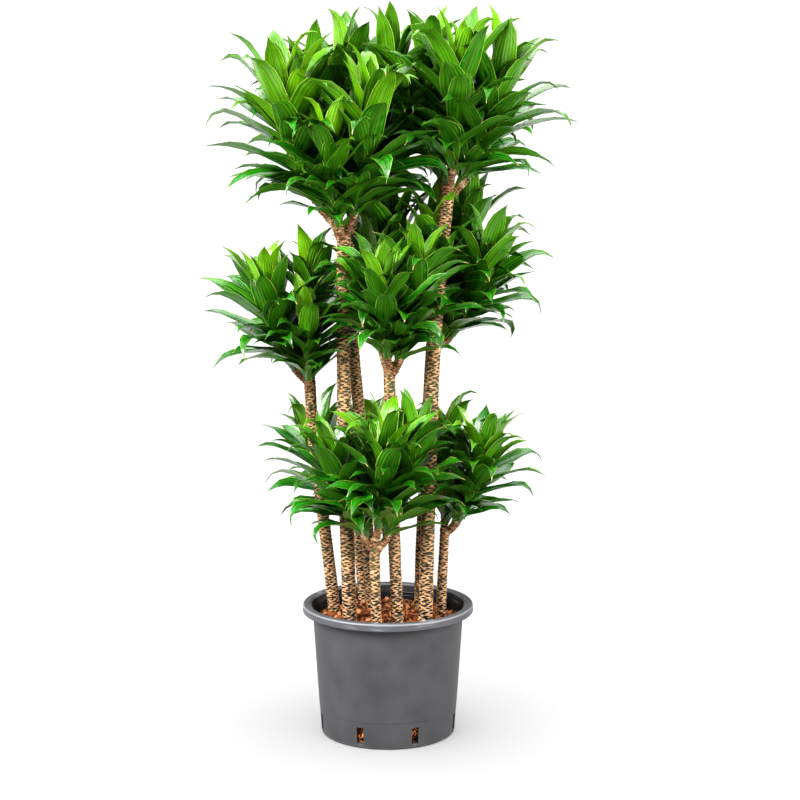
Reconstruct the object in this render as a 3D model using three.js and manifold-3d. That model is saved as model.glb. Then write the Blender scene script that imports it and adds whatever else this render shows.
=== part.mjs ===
// A potted corn plant (Dracaena fragrans, the compact kind) as a nursery sells it: nine rooted
// canes of three lengths in a plastic pot of soil. Each cane was cut off at the top and has pushed
// out two to four side shoots there, and each shoot carries a leafy head.
//
// Units are millimetres. +Z is up, +X is to the right and -Y is the front. The origin is the
// middle of the pot's flat underside.

import * as THREE from "three";
import { mergeVertices } from "three/addons/utils/BufferGeometryUtils.js";
import Module from "manifold-3d";

const wasm = await Module();
wasm.setup();

// ---- Driving dimensions ---------------------------------------------------------------------

const GAP = 0.3; // clearance between pieces that touch
const GRAIN = 1 / 128; // every coordinate is a whole multiple of this, so corners that meet are equal
const SHORTEST_EDGE = 0.15; // a join's shorter edges are closed up

const POT_HEIGHT = 262;
const RIM_RADIUS = 170;
const FOOT_RADIUS = 132;
const WALL_TOP_RADIUS = 150;
const WALL_TOP_Z = 240;
const NECK_RADIUS = 152; // inside the pot's mouth, where the wall turns out into the rim
const WALL = 3;
const RIM_THICKNESS = 4;
const RIM_SKIRT = 16; // height of the turned-down edge of the rim
const POT_SIDES = 32;
const SLOT_ANGLES = [-128, -76, -23.5, 23.5, 76, 128, 180]; // degrees from the front
const SLOT = { width: 14, low: 6, high: 42 };

const SOIL_EDGE_Z = 226;
const SOIL_MOUND = 12; // how much higher the soil is in the middle
const SOIL_BUMP = 4;
const SOIL_CHAMFER = 4; // round the bottom of the pot's inside
const SOIL_SECTORS = 24;
const SOIL_RINGS = [30, 62, 94, 124];
const HOLE_SIDES = 8;
const PLANTING_DEPTH = 90; // how far a cane reaches below the edge of the soil

const CANE_SIDES = 8;
const BARK_PITCH = 42; // the bark's diamonds, larger than life
const BARK_RELIEF = 0.07; // their height as a share of the cane's radius
const CANE_TAPER = 0.92; // the radius under the cut top as a share of the one at the soil
const CUT_TAPER = 0.86; // how far the cut top itself is rounded in

const SHOOT_DROP = 14; // how far below the cut top the first shoot leaves the cane
const SHOOT_STEP = 9; // and how much lower each further one does
const SHOOT_BEND = { sideways: 0.72, up: 0.3 }; // where a shoot turns, as shares of its reach
const BARE_SHARE = 0.24; // the share of a shoot that is bare wood and belongs to the cane
const WOOD_RADIUS = 8;
const WOOD_TAPER = 0.9;
const STUB_SIDES = 5;
const STEM_RADIUS = 6.5;
const BUD_RADIUS = 3.5;
const BUD_LENGTH = 12;

const LEAVES_ROUND = 3; // leaves at one level of a stem, and sides of the stem
const LEVEL_TURN = (137.5 - 360) / LEAVES_ROUND; // degrees from one level to the next
const LEAF_STATIONS = [0, 0.35, 0.7, 1];
const LEAF_WIDTH = 0.25; // as a share of its length
const LEAF_WIDEST = 0.42; // where along it
const LEAF_SPREAD = { young: 16, old: 76 }; // degrees from the shoot at the foot of the blade
const LEAF_BEND = { young: 8, old: 20 }; // degrees more at its tip
const LEAF_SAG = 0.28; // how far its own weight turns the tip down
const LEAF_ROLL = 24;
const LEAF_LIFT = 0.35; // how far a head straightens up from the way its shoot leans
const LEAF_KEEL = 1.6; // the blade's thickness at its middle line
const LEAF_CLEARANCE = 1.2;
const TOUCH_VOLUME = 1e-4; // two solids that share less than this only touch
const JUST_INSIDE = 1e-3; // how far under a face a point inside it is taken

const COLOURS = {
  pot: 0x55565a,
  soil: 0x8a4f2b,
  bark: 0xb98a5e,
  leaf: 0x2f8a1c,
};

// Each cane: its radius, its route from the soil to its cut top, and its shoots. A shoot has the
// place of its growing tip, the length of its longest leaves, and how many leaves it carries.
const CANES = [
  {
    name: "tall_left",
    radius: 14,
    route: [[-75, -45, 235], [-82, -43, 479], [-85, -42, 716], [-84, -40, 1017]],
    shoots: [
      { name: "left", tip: [-198, -62, 1224], leaf: 185, leaves: 33 },
      { name: "right", tip: [-34, -104, 1198], leaf: 180, leaves: 33 },
      { name: "front", tip: [-108, -118, 1144], leaf: 135, leaves: 24 },
      { name: "back", tip: [-146, 36, 1250], leaf: 170, leaves: 30 },
    ],
  },
  {
    name: "tall_back",
    radius: 12.5,
    route: [[-31, 62, 235], [-40, 66, 361], [-58, 72, 633], [-69, 82, 760], [-66, 104, 1057]],
    shoots: [
      { name: "left", tip: [-84, 92, 1292], leaf: 165, leaves: 27 },
      { name: "right", tip: [6, 78, 1296], leaf: 165, leaves: 30 },
      { name: "back", tip: [-55, 205, 1255], leaf: 160, leaves: 30 },
      { name: "front", tip: [30, 22, 1190], leaf: 160, leaves: 27 },
    ],
  },
  {
    name: "tall_right",
    radius: 14,
    route: [[74, -45, 235], [79, -42, 437], [91, -30, 793], [117, -10, 1092]],
    shoots: [
      { name: "front", tip: [136, -60, 1276], leaf: 175, leaves: 33 },
      { name: "right", tip: [212, -16, 1246], leaf: 180, leaves: 33 },
      { name: "back", tip: [84, 72, 1282], leaf: 170, leaves: 30 },
    ],
  },
  {
    name: "middle_left",
    radius: 12,
    route: [[-107, 10, 235], [-116, 8, 324], [-148, 5, 608], [-154, 0, 720]],
    shoots: [
      { name: "left", tip: [-232, -14, 842], leaf: 165, leaves: 30 },
      { name: "back", tip: [-150, 50, 893], leaf: 155, leaves: 27 },
      { name: "front", tip: [-156, -58, 812], leaf: 120, leaves: 21 },
    ],
  },
  {
    name: "middle_front",
    radius: 12,
    route: [[19, -60, 235], [12, -60, 422], [6, -60, 600], [3, -60, 754]],
    shoots: [
      { name: "front", tip: [-8, -126, 870], leaf: 150, leaves: 30 },
      { name: "left", tip: [-30, -12, 905], leaf: 165, leaves: 27 },
      { name: "right", tip: [60, -84, 905], leaf: 150, leaves: 27 },
    ],
  },
  {
    name: "middle_back",
    radius: 11.5,
    route: [[64, 45, 235], [67, 46, 365], [79, 50, 633], [88, 60, 802]],
    shoots: [
      { name: "left", tip: [4, 64, 985], leaf: 165, leaves: 27 },
      { name: "front", tip: [92, 16, 966], leaf: 150, leaves: 24 },
      { name: "back", tip: [156, 96, 985], leaf: 160, leaves: 30 },
      { name: "right", tip: [186, 20, 908], leaf: 160, leaves: 30 },
    ],
  },
  {
    name: "short_front",
    radius: 10.5,
    route: [[-22, -85, 235], [-24, -85, 300], [-25, -85, 360], [-25, -85, 414]],
    shoots: [
      { name: "front", tip: [-6, -134, 560], leaf: 155, leaves: 33 },
      { name: "left", tip: [-98, -90, 534], leaf: 155, leaves: 27 },
      { name: "right", tip: [46, -98, 560], leaf: 155, leaves: 27 },
    ],
  },
  {
    name: "short_right",
    radius: 10,
    route: [[106, 4, 235], [108, 4, 300], [111, 5, 360], [113, 5, 414]],
    shoots: [
      { name: "right", tip: [184, -14, 548], leaf: 155, leaves: 30 },
      { name: "back", tip: [112, 64, 556], leaf: 145, leaves: 27 },
    ],
  },
  {
    name: "short_back",
    radius: 10,
    route: [[-51, 115, 235], [-56, 116, 290], [-61, 117, 345], [-67, 118, 408]],
    shoots: [
      { name: "left", tip: [-148, 84, 562], leaf: 155, leaves: 30 },
      { name: "back", tip: [-34, 170, 530], leaf: 145, leaves: 27 },
    ],
  },
];

// ---- Small helpers ----------------------------------------------------------------------------

const radians = THREE.MathUtils.degToRad;
const mix = THREE.MathUtils.lerp;
const point = ([x, y, z]) => new THREE.Vector3(x, y, z);

// A repeatable draw from 0 to 1 for each pair of whole numbers.
function draw(a, b) {
  const s = Math.sin(a * 12.9898 + b * 78.233) * 43758.5453;
  return s - Math.floor(s);
}

// A closed three.js geometry as a solid that can be joined and cut.
function solidOf(geometry) {
  const bare = geometry.clone();
  bare.deleteAttribute("normal");
  bare.deleteAttribute("uv");
  const merged = mergeVertices(bare, 1e-3);
  return new wasm.Manifold(
    new wasm.Mesh({
      numProp: 3,
      vertProperties: new Float32Array(merged.attributes.position.array),
      triVerts: new Uint32Array(merged.index.array),
    }),
  );
}

// The way back, for a mesh in the scene.
function geometryOf(solid) {
  const mesh = solid.getMesh();
  const corners = mesh.vertProperties.map((value) => Math.round(value / GRAIN) * GRAIN);
  return new THREE.BufferGeometry()
    .setAttribute("position", new THREE.BufferAttribute(corners, 3))
    .setIndex(new THREE.BufferAttribute(mesh.triVerts, 1));
}

// The largest body of a solid: a scrap that a join leaves loose is dropped.
function mainBody(solid) {
  return solid.decompose().reduce((a, b) => (b.volume() > a.volume() ? b : a));
}

// The faces between two rings of points, turned outwards. A ring of one point is a tip.
function band(low, high) {
  const faces = [];
  const sides = Math.max(low.length, high.length);
  for (let j = 0; j < sides; j++) {
    const k = (j + 1) % sides;
    if (high.length === 1) faces.push([low[j], low[k], high[0]]);
    else if (low.length === 1) faces.push([low[0], high[k], high[j]]);
    else faces.push([low[j], low[k], high[k]], [low[j], high[k], high[j]]);
  }
  return faces;
}

// The same for thin blades: each four-sided face is split along the diagonal that bulges outwards,
// so that a twist never folds one side of the blade through the other.
function fullBand(low, high) {
  const faces = band(low, high);
  if (high.length === 1 || low.length === 1) return faces;
  for (let i = 0; i < faces.length; i += 2) {
    const [a, b, c] = faces[i];
    const d = faces[i + 1][2];
    const plane = new THREE.Plane().setFromCoplanarPoints(a, b, c);
    if (plane.distanceToPoint(d) > 0) faces.splice(i, 2, [a, b, d], [b, c, d]);
  }
  return faces;
}

// The faces of a closed skin over rings of points, with a flat cap on each end that isn't a tip.
function skin(rings, bandOf = band) {
  const faces = rings.slice(1).flatMap((ring, i) => bandOf(rings[i], ring));
  const [first, last] = [rings[0], rings.at(-1)];
  for (let j = 1; j + 1 < first.length; j++) faces.push([first[0], first[j + 1], first[j]]);
  for (let j = 1; j + 1 < last.length; j++) faces.push([last[0], last[j], last[j + 1]]);
  return faces;
}

const solidOfFaces = (faces) => solidOf(new THREE.BufferGeometry().setFromPoints(faces.flat()));

// The corners of a section of a tube at a point of its path. The section can be turned.
function ringAt(centre, tangent, sides, radiusOf, turn = 0) {
  const across = new THREE.Vector3(0, 1, 0).cross(tangent).normalize();
  const along = tangent.clone().cross(across);
  return Array.from({ length: sides }, (_, j) => {
    const angle = (2 * Math.PI * j) / sides + turn;
    return centre
      .clone()
      .addScaledVector(across, radiusOf(j) * Math.cos(angle))
      .addScaledVector(along, radiusOf(j) * Math.sin(angle));
  });
}

function distanceToPath(path, p) {
  let nearest = Infinity;
  const line = new THREE.Line3();
  const foot = new THREE.Vector3();
  for (let i = 0; i + 1 < path.length; i++) {
    line.set(path[i], path[i + 1]).closestPointToPoint(p, true, foot);
    nearest = Math.min(nearest, foot.distanceTo(p));
  }
  return nearest;
}

// ---- The pot and its soil ---------------------------------------------------------------------

function makePot() {
  const skirtZ = POT_HEIGHT - RIM_SKIRT;
  const profile = [
    [0, 0],
    [FOOT_RADIUS, 0],
    [FOOT_RADIUS + 2, WALL],
    [WALL_TOP_RADIUS, WALL_TOP_Z],
    [NECK_RADIUS + WALL, POT_HEIGHT - RIM_THICKNESS],
    [RIM_RADIUS - WALL, POT_HEIGHT - RIM_THICKNESS],
    [RIM_RADIUS - WALL, skirtZ],
    [RIM_RADIUS, skirtZ],
    [RIM_RADIUS, POT_HEIGHT - WALL],
    [RIM_RADIUS - WALL, POT_HEIGHT],
    [NECK_RADIUS + RIM_THICKNESS, POT_HEIGHT],
    [NECK_RADIUS, POT_HEIGHT - RIM_THICKNESS],
    [WALL_TOP_RADIUS - WALL, WALL_TOP_Z],
    [FOOT_RADIUS - 1, WALL * 2],
    [FOOT_RADIUS - 5, WALL],
    [0, WALL],
  ].map(([r, z]) => new THREE.Vector2(r, z));
  const lathe = new THREE.LatheGeometry(profile, POT_SIDES).rotateX(Math.PI / 2);
  let pot = solidOf(lathe);
  const height = SLOT.high - SLOT.low;
  for (const angle of SLOT_ANGLES) {
    const slot = new THREE.BoxGeometry(SLOT.width, 10 * WALL, height)
      .translate(0, -FOOT_RADIUS, SLOT.low + height / 2)
      .rotateZ(radians(angle));
    pot = pot.subtract(solidOf(slot));
  }
  return pot;
}

// The soil's top is a low mound with bumps, and its side follows the inside of the pot.
function soilHeight(ring, sector) {
  const share = ring < 0 ? 0 : SOIL_RINGS[ring] / WALL_TOP_RADIUS;
  const bump = SOIL_BUMP * (draw(ring + 2, sector + 1) - 0.5) * 2;
  return SOIL_EDGE_Z + SOIL_MOUND * (1 - share * share) + bump;
}

function makeSoil() {
  const flats = WALL_TOP_RADIUS * (1 - Math.cos(Math.PI / POT_SIDES));
  const floorEdge = 2 * WALL;
  const innerRadius = (z) => {
    const share = (z - floorEdge) / (WALL_TOP_Z - floorEdge);
    return mix(FOOT_RADIUS - 1, WALL_TOP_RADIUS - WALL, share) - flats - 2 * GAP;
  };
  const circle = (radius, height) =>
    Array.from({ length: SOIL_SECTORS }, (_, j) => {
      const angle = (2 * Math.PI * j) / SOIL_SECTORS;
      return new THREE.Vector3(radius * Math.cos(angle), radius * Math.sin(angle), height(j));
    });
  const bottom = floorEdge + GAP;
  const rings = [
    circle(innerRadius(bottom) - SOIL_CHAMFER, () => bottom),
    circle(innerRadius(SOIL_EDGE_Z), () => SOIL_EDGE_Z),
    ...SOIL_RINGS.map((r, i) => circle(r, (j) => soilHeight(i, j))).reverse(),
    [new THREE.Vector3(0, 0, soilHeight(-1, 0))],
  ];
  let soil = solidOfFaces(skin(rings));
  const depth = 2 * PLANTING_DEPTH;
  for (const { radius, route } of CANES) {
    const holeRadius = (radius + GAP) / Math.cos(Math.PI / HOLE_SIDES);
    const hole = new THREE.CylinderGeometry(holeRadius, holeRadius, depth, HOLE_SIDES)
      .rotateX(Math.PI / 2)
      .translate(route[0][0], route[0][1], SOIL_EDGE_Z - GAP);
    soil = soil.subtract(solidOf(hole));
  }
  return soil;
}

// ---- Canes ------------------------------------------------------------------------------------

// A shoot leaves the cane sideways and turns up towards its tip.
function shootCurve(cane, shoot, index) {
  const top = point(cane.route.at(-1));
  const foot = top.clone().add(new THREE.Vector3(0, 0, -SHOOT_DROP - SHOOT_STEP * index));
  const tip = point(shoot.tip);
  const reach = tip.clone().sub(foot);
  const { sideways, up } = SHOOT_BEND;
  const turn = reach.multiply(new THREE.Vector3(sideways, sideways, up)).add(foot);
  return new THREE.QuadraticBezierCurve3(foot, turn, tip);
}

// The cane's bark is a net of raised diamonds: every second corner of every ring stands out.
function makeCane(cane) {
  const buried = SOIL_EDGE_Z - PLANTING_DEPTH;
  const route = new THREE.CatmullRomCurve3(cane.route.map(point), false, "centripetal");
  const count = Math.round(route.getLength() / BARK_PITCH);
  const up = new THREE.Vector3(0, 0, 1);
  const plain = (z) =>
    ringAt(new THREE.Vector3(cane.route[0][0], cane.route[0][1], z), up, CANE_SIDES, () => cane.radius);
  const rings = [plain(buried), plain(SOIL_EDGE_Z + SOIL_MOUND + SOIL_BUMP + 1)];
  for (let i = 1; i <= count; i++) {
    const share = i / count;
    const radius = cane.radius * mix(1, CANE_TAPER, share) * (i === count ? CUT_TAPER : 1);
    rings.push(
      ringAt(route.getPointAt(share), route.getTangentAt(share), CANE_SIDES, (j) =>
        radius * (1 + BARK_RELIEF * ((i + j) % 2 ? 1 : -1)),
      ),
    );
  }
  let wood = solidOfFaces(skin(rings));
  for (const shoot of cane.shoots) {
    const stub = [0, 0.55, 1].map((share) => {
      const at = share * BARE_SHARE;
      const radius = WOOD_RADIUS * mix(1, WOOD_TAPER, share);
      return ringAt(shoot.curve.getPointAt(at), shoot.curve.getTangentAt(at), STUB_SIDES, () => radius);
    });
    wood = wood.add(solidOfFaces(skin(stub)));
  }
  return mainBody(wood).asOriginal().simplify(SHORTEST_EDGE);
}

// ---- Leafy heads ------------------------------------------------------------------------------

// Half the blade's width: from a point inside the stem to its widest, then down to the leaf's tip.
function bladeHalfWidth(t, length) {
  const half = (LEAF_WIDTH * length) / 2;
  if (t < LEAF_WIDEST) return half * Math.sin((Math.PI / 2) * (t / LEAF_WIDEST));
  return half * Math.cos((Math.PI / 2) * ((t - LEAF_WIDEST) / (1 - LEAF_WIDEST))) ** 0.9;
}

// How leaf k of a head stands before it makes way for anything: old leaves at the foot of the
// shoot stand out flat, young ones at its tip stand upright and are short.
function leafHabit(shoot, k) {
  const age = 1 - k / (shoot.leaves - 1);
  const jitter = (j) => draw(shoot.number * 37 + k, j) - 0.5;
  const level = Math.floor(k / LEAVES_ROUND) + 1;
  const round = (360 / LEAVES_ROUND) * ((k % LEAVES_ROUND) + 0.5);
  const growth = 0.6 + 0.4 * Math.sin(Math.PI * Math.min(1, age * 0.75 + 0.22));
  return {
    azimuth: level * LEVEL_TURN + round + 14 * jitter(1),
    spread: mix(LEAF_SPREAD.young, LEAF_SPREAD.old, age ** 0.7) + 10 * jitter(2),
    length: shoot.leaf * growth * (1 + 0.14 * jitter(3)),
    bend: mix(LEAF_BEND.young, LEAF_BEND.old, age) + 14 * jitter(4),
    roll: LEAF_ROLL * jitter(5),
  };
}

// True if a closed skin never passes through itself: it winds once round a point just inside each
// of its faces. The winding is the sum of the solid angles that the faces fill, seen from there.
function isSound(faces) {
  return faces.every(([a, b, c]) => {
    const face = new THREE.Triangle(a, b, c);
    const p = face.getMidpoint(new THREE.Vector3());
    p.addScaledVector(face.getNormal(new THREE.Vector3()), -JUST_INSIDE);
    let winding = 0;
    for (const corners of faces) {
      const [u, v, w] = corners.map((corner) => corner.clone().sub(p));
      const [lu, lv, lw] = [u.length(), v.length(), w.length()];
      const filled = u.dot(v.clone().cross(w));
      const open = lu * lv * lw + u.dot(v) * lw + v.dot(w) * lu + w.dot(u) * lv;
      winding += Math.atan2(filled, open) / (2 * Math.PI);
    }
    return Math.abs(winding - 1) < 0.5;
  });
}

// The stations of a blade: its middle line, the way it points and the way its sides lie.
function bladeLine(habit, root, tangent) {
  const axis = tangent.clone().lerp(new THREE.Vector3(0, 0, 1), LEAF_LIFT).normalize();
  const east = new THREE.Vector3(0, 1, 0).cross(axis).normalize();
  const north = axis.clone().cross(east);
  const azimuth = radians(habit.azimuth);
  const out = east.multiplyScalar(Math.cos(azimuth)).addScaledVector(north, Math.sin(azimuth));
  const side = axis.clone().cross(out);
  const directionAt = (t) => {
    const angle = radians(habit.spread + habit.bend * t * t);
    return axis
      .clone()
      .multiplyScalar(Math.cos(angle))
      .addScaledVector(out, Math.sin(angle))
      .add(new THREE.Vector3(0, 0, -LEAF_SAG * t * t))
      .normalize();
  };
  const centre = new THREE.Triangle(...root).getMidpoint(new THREE.Vector3());
  return LEAF_STATIONS.map((t, i) => {
    if (i) {
      const before = LEAF_STATIONS[i - 1];
      centre.addScaledVector(directionAt((t + before) / 2), habit.length * (t - before));
    }
    const direction = directionAt(t);
    const rolled = side.clone().applyAxisAngle(direction, radians(habit.roll * t));
    return { t, centre: centre.clone(), direction, side: rolled };
  });
}

// True if every part of the blade is nearer to its own shoot than to any other, and clear of wood.
function bladeIsClear(shoot, habit, line) {
  for (let i = 0; i + 1 < line.length; i++) {
    for (const share of [0.34, 0.67, 1]) {
      const t = mix(line[i].t, line[i + 1].t, share);
      const half = bladeHalfWidth(t, habit.length);
      for (const across of [0, -1, 1, -0.5, 0.5]) {
        const p = line[i].centre.clone().lerp(line[i + 1].centre, share);
        p.addScaledVector(line[i + 1].side, across * half);
        const own = distanceToPath(shoot.path, p) + LEAF_CLEARANCE;
        if (shoot.neighbours.some((other) => distanceToPath(other.path, p) < own)) return false;
        if (t < 0.12) continue;
        const touches = ({ path, radius }) => distanceToPath(path, p) < radius + LEAF_CLEARANCE + LEAF_KEEL;
        if (shoot.wood.some(touches)) return false;
      }
    }
  }
  return true;
}

// The ways in which a leaf makes way, the slightest first: it turns aside, rises or sinks, or
// stays short.
const WAYS = [];
for (const turn of [0, 12, -12, 24, -24, 38, -38, 54, -54])
  for (const rise of [0, 9, -9, 18, -18, 30, 44, 60])
    for (const shorten of [0, 0.12, 0.24, 0.36])
      WAYS.push({ turn, rise, shorten, cost: Math.abs(turn) / 20 + Math.abs(rise) / 9 + shorten * 14 });
WAYS.sort((a, b) => a.cost - b.cost);

// The rings of a blade, from the face of the stem that it grows on to its tip. Its section is a
// flat triangle: two sharp edges and a low keel under its middle line.
function bladeRings(root, habit, line) {
  const [low, left, right] = root;
  return line.map(({ t, centre, direction, side }) => {
    if (t === 0) return [left, right, low];
    if (t === 1) return [centre];
    const half = bladeHalfWidth(t, habit.length);
    const face = direction.clone().cross(side).normalize();
    return [
      centre.clone().addScaledVector(side, half),
      centre.clone().addScaledVector(side, -half),
      centre.clone().addScaledVector(face, -LEAF_KEEL),
    ];
  });
}

// Leaf k where it has room, by the slightest way that crosses neither the stem nor another leaf.
function settledLeaf(shoot, k, root, tangent, stem, earlier) {
  const habit = leafHabit(shoot, k);
  for (const way of WAYS) {
    const tried = {
      ...habit,
      azimuth: habit.azimuth + way.turn,
      spread: Math.max(8, habit.spread - way.rise),
      length: habit.length * (1 - way.shorten),
    };
    const line = bladeLine(tried, root, tangent);
    if (!bladeIsClear(shoot, tried, line)) continue;
    const rings = bladeRings(root, tried, line);
    const faces = skin(rings, fullBand);
    if (!isSound(faces)) continue;
    const solid = solidOfFaces(faces);
    if (solid.intersect(stem).volume() > TOUCH_VOLUME) continue;
    if (earlier.some((leaf) => leaf.solid.intersect(solid).volume() > TOUCH_VOLUME)) continue;
    return { root, rings, solid };
  }
  return null;
}

// A head: its green stem, ending in a bud, and its leaves, all one body. The stem is a column of
// three-sided rings, each turned on from the one below, and each level of it carries three leaves,
// which grow out of every second face.
function makeHead(shoot) {
  const start = BARE_SHARE + GAP / shoot.curve.getLength();
  const levels = shoot.leaves / LEAVES_ROUND;
  const rings = Array.from({ length: levels + 1 }, (_, i) => {
    const at = mix(start, 1, i / levels);
    const radius = mix(STEM_RADIUS, BUD_RADIUS, i / levels);
    const [centre, tangent] = [shoot.curve.getPointAt(at), shoot.curve.getTangentAt(at)];
    return ringAt(centre, tangent, LEAVES_ROUND, () => radius, radians(i * LEVEL_TURN));
  });
  const bud = shoot.curve.getPointAt(1).addScaledVector(shoot.curve.getTangentAt(1), BUD_LENGTH);
  const stemFaces = skin([...rings, [bud]]);
  const stem = solidOfFaces(stemFaces);
  const leaves = [];
  for (let k = 0; k < shoot.leaves; k++) {
    const tangent = shoot.curve.getTangentAt(mix(start, 1, k / shoot.leaves));
    const leaf = settledLeaf(shoot, k, stemFaces[2 * k + 1], tangent, stem, leaves);
    if (leaf) leaves.push(leaf);
  }
  const faces = stemFaces.filter((face) => !leaves.some(({ root }) => root === face));
  for (const leaf of leaves)
    for (let i = 1; i < leaf.rings.length; i++) {
      faces.push(...fullBand(leaf.rings[i - 1], leaf.rings[i]));
    }
  return solidOfFaces(faces);
}

// ---- The plant --------------------------------------------------------------------------------

const plant = new THREE.Group();

function addNode(name, solid, colour, roughness) {
  const material = new THREE.MeshStandardMaterial({ color: colour, roughness, metalness: 0 });
  const mesh = new THREE.Mesh(geometryOf(solid), material);
  mesh.name = name;
  plant.add(mesh);
}

addNode("pot", makePot(), COLOURS.pot, 0.5);
addNode("soil", makeSoil(), COLOURS.soil, 0.95);

const shoots = [];
const wood = [];
for (const cane of CANES) {
  const route = new THREE.CatmullRomCurve3(cane.route.map(point), false, "centripetal");
  wood.push({ path: route.getSpacedPoints(10), radius: cane.radius * (1 + BARK_RELIEF) });
  cane.shoots.forEach((shoot, index) => {
    shoot.number = shoots.length + 1;
    shoot.cane = cane.name;
    shoot.curve = shootCurve(cane, shoot, index);
    const pathFrom = (from, to) =>
      Array.from({ length: 6 }, (_, i) => shoot.curve.getPointAt(mix(from, to, i / 5)));
    shoot.path = pathFrom(BARE_SHARE, 1);
    wood.push({ path: pathFrom(0, BARE_SHARE), radius: WOOD_RADIUS });
    shoots.push(shoot);
  });
}
for (const cane of CANES) addNode("cane_" + cane.name, makeCane(cane), COLOURS.bark, 0.9);
for (const shoot of shoots) {
  const near = ({ path }) => path.some((p) => distanceToPath(shoot.path, p) < 2 * shoot.leaf);
  shoot.neighbours = shoots.filter((other) => other !== shoot && near(other));
  shoot.wood = wood.filter(near);
  addNode(`head_${shoot.cane}_${shoot.name}`, makeHead(shoot), COLOURS.leaf, 0.4);
}

export default plant;
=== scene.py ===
"""A potted corn plant: canes with a corky net of bark, leafy heads, soil and a nursery pot.

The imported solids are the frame, and every piece here stands where its solid does. The pot, the
soil and the canes keep their solids' form, and add rounded edges, loose granules and bark as a
raised net. A head keeps its place and about its reach. Its leaves stand by a rule of their own:
they are more and thinner than the solid's, and arch, with channels, waved margins and curled tips.
Lengths are worked out in millimetres and turned to metres when a mesh is made. -Y is the front.
"""

import math
from typing import NamedTuple

import bpy
import numpy as np
from bpy.props import FloatProperty, FloatVectorProperty, IntProperty, PointerProperty
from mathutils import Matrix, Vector


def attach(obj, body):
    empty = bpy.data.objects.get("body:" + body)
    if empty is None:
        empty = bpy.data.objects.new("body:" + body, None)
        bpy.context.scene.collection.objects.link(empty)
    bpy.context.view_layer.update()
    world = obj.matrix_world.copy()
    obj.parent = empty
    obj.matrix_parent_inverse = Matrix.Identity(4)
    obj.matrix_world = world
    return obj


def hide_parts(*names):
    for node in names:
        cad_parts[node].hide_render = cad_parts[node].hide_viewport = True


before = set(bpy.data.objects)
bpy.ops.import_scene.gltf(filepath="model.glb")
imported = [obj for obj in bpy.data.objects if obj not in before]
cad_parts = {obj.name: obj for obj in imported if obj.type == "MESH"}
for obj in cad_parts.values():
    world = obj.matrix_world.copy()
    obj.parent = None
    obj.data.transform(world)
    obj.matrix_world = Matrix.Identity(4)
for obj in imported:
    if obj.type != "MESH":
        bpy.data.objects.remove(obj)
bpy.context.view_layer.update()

bl_info = {
    "name": "Potted Corn Plant",
    "version": (1, 0, 0),
    "blender": (4, 5, 0),
    "location": "3D View > Sidebar > Plant",
    "description": "Builds the pot, soil, canes and leafy heads of a corn plant over its solids",
    "category": "Add Mesh",
}

MM = 0.001
UP = np.array([0.0, 0.0, 1.0])
NORTH = np.array([0.0, 1.0, 0.0])


def linear(code):
    """The linear colour, with full alpha, of an sRGB hex value."""
    channels = [int(code[i : i + 2], 16) / 255 for i in (1, 3, 5)]
    light = [c / 12.92 if c <= 0.04045 else ((c + 0.055) / 1.055) ** 2.4 for c in channels]
    return (*light, 1.0)


# ---- The plant's plan, in millimetres --------------------------------------------------------


class Shoot(NamedTuple):
    """A side shoot: the place of its growing tip, its longest leaves' length, and their number.

    Its leaves may be a darker green by a share: partly their own older green, partly painted shade
    on the lower heads and the heads at the back.
    One leaf may go its own way: its number, the way it faces in degrees from east, its spread and
    bend in degrees, and its length.
    """

    name: str
    tip: tuple
    leaf: float
    leaves: int
    deeper_green_and_shade: float = 0.0
    odd_leaf: tuple = ()


class Cane(NamedTuple):
    """A cane: its radius, its route from the soil to its cut top, and its shoots."""

    name: str
    radius: float
    route: tuple
    shoots: tuple


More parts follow.
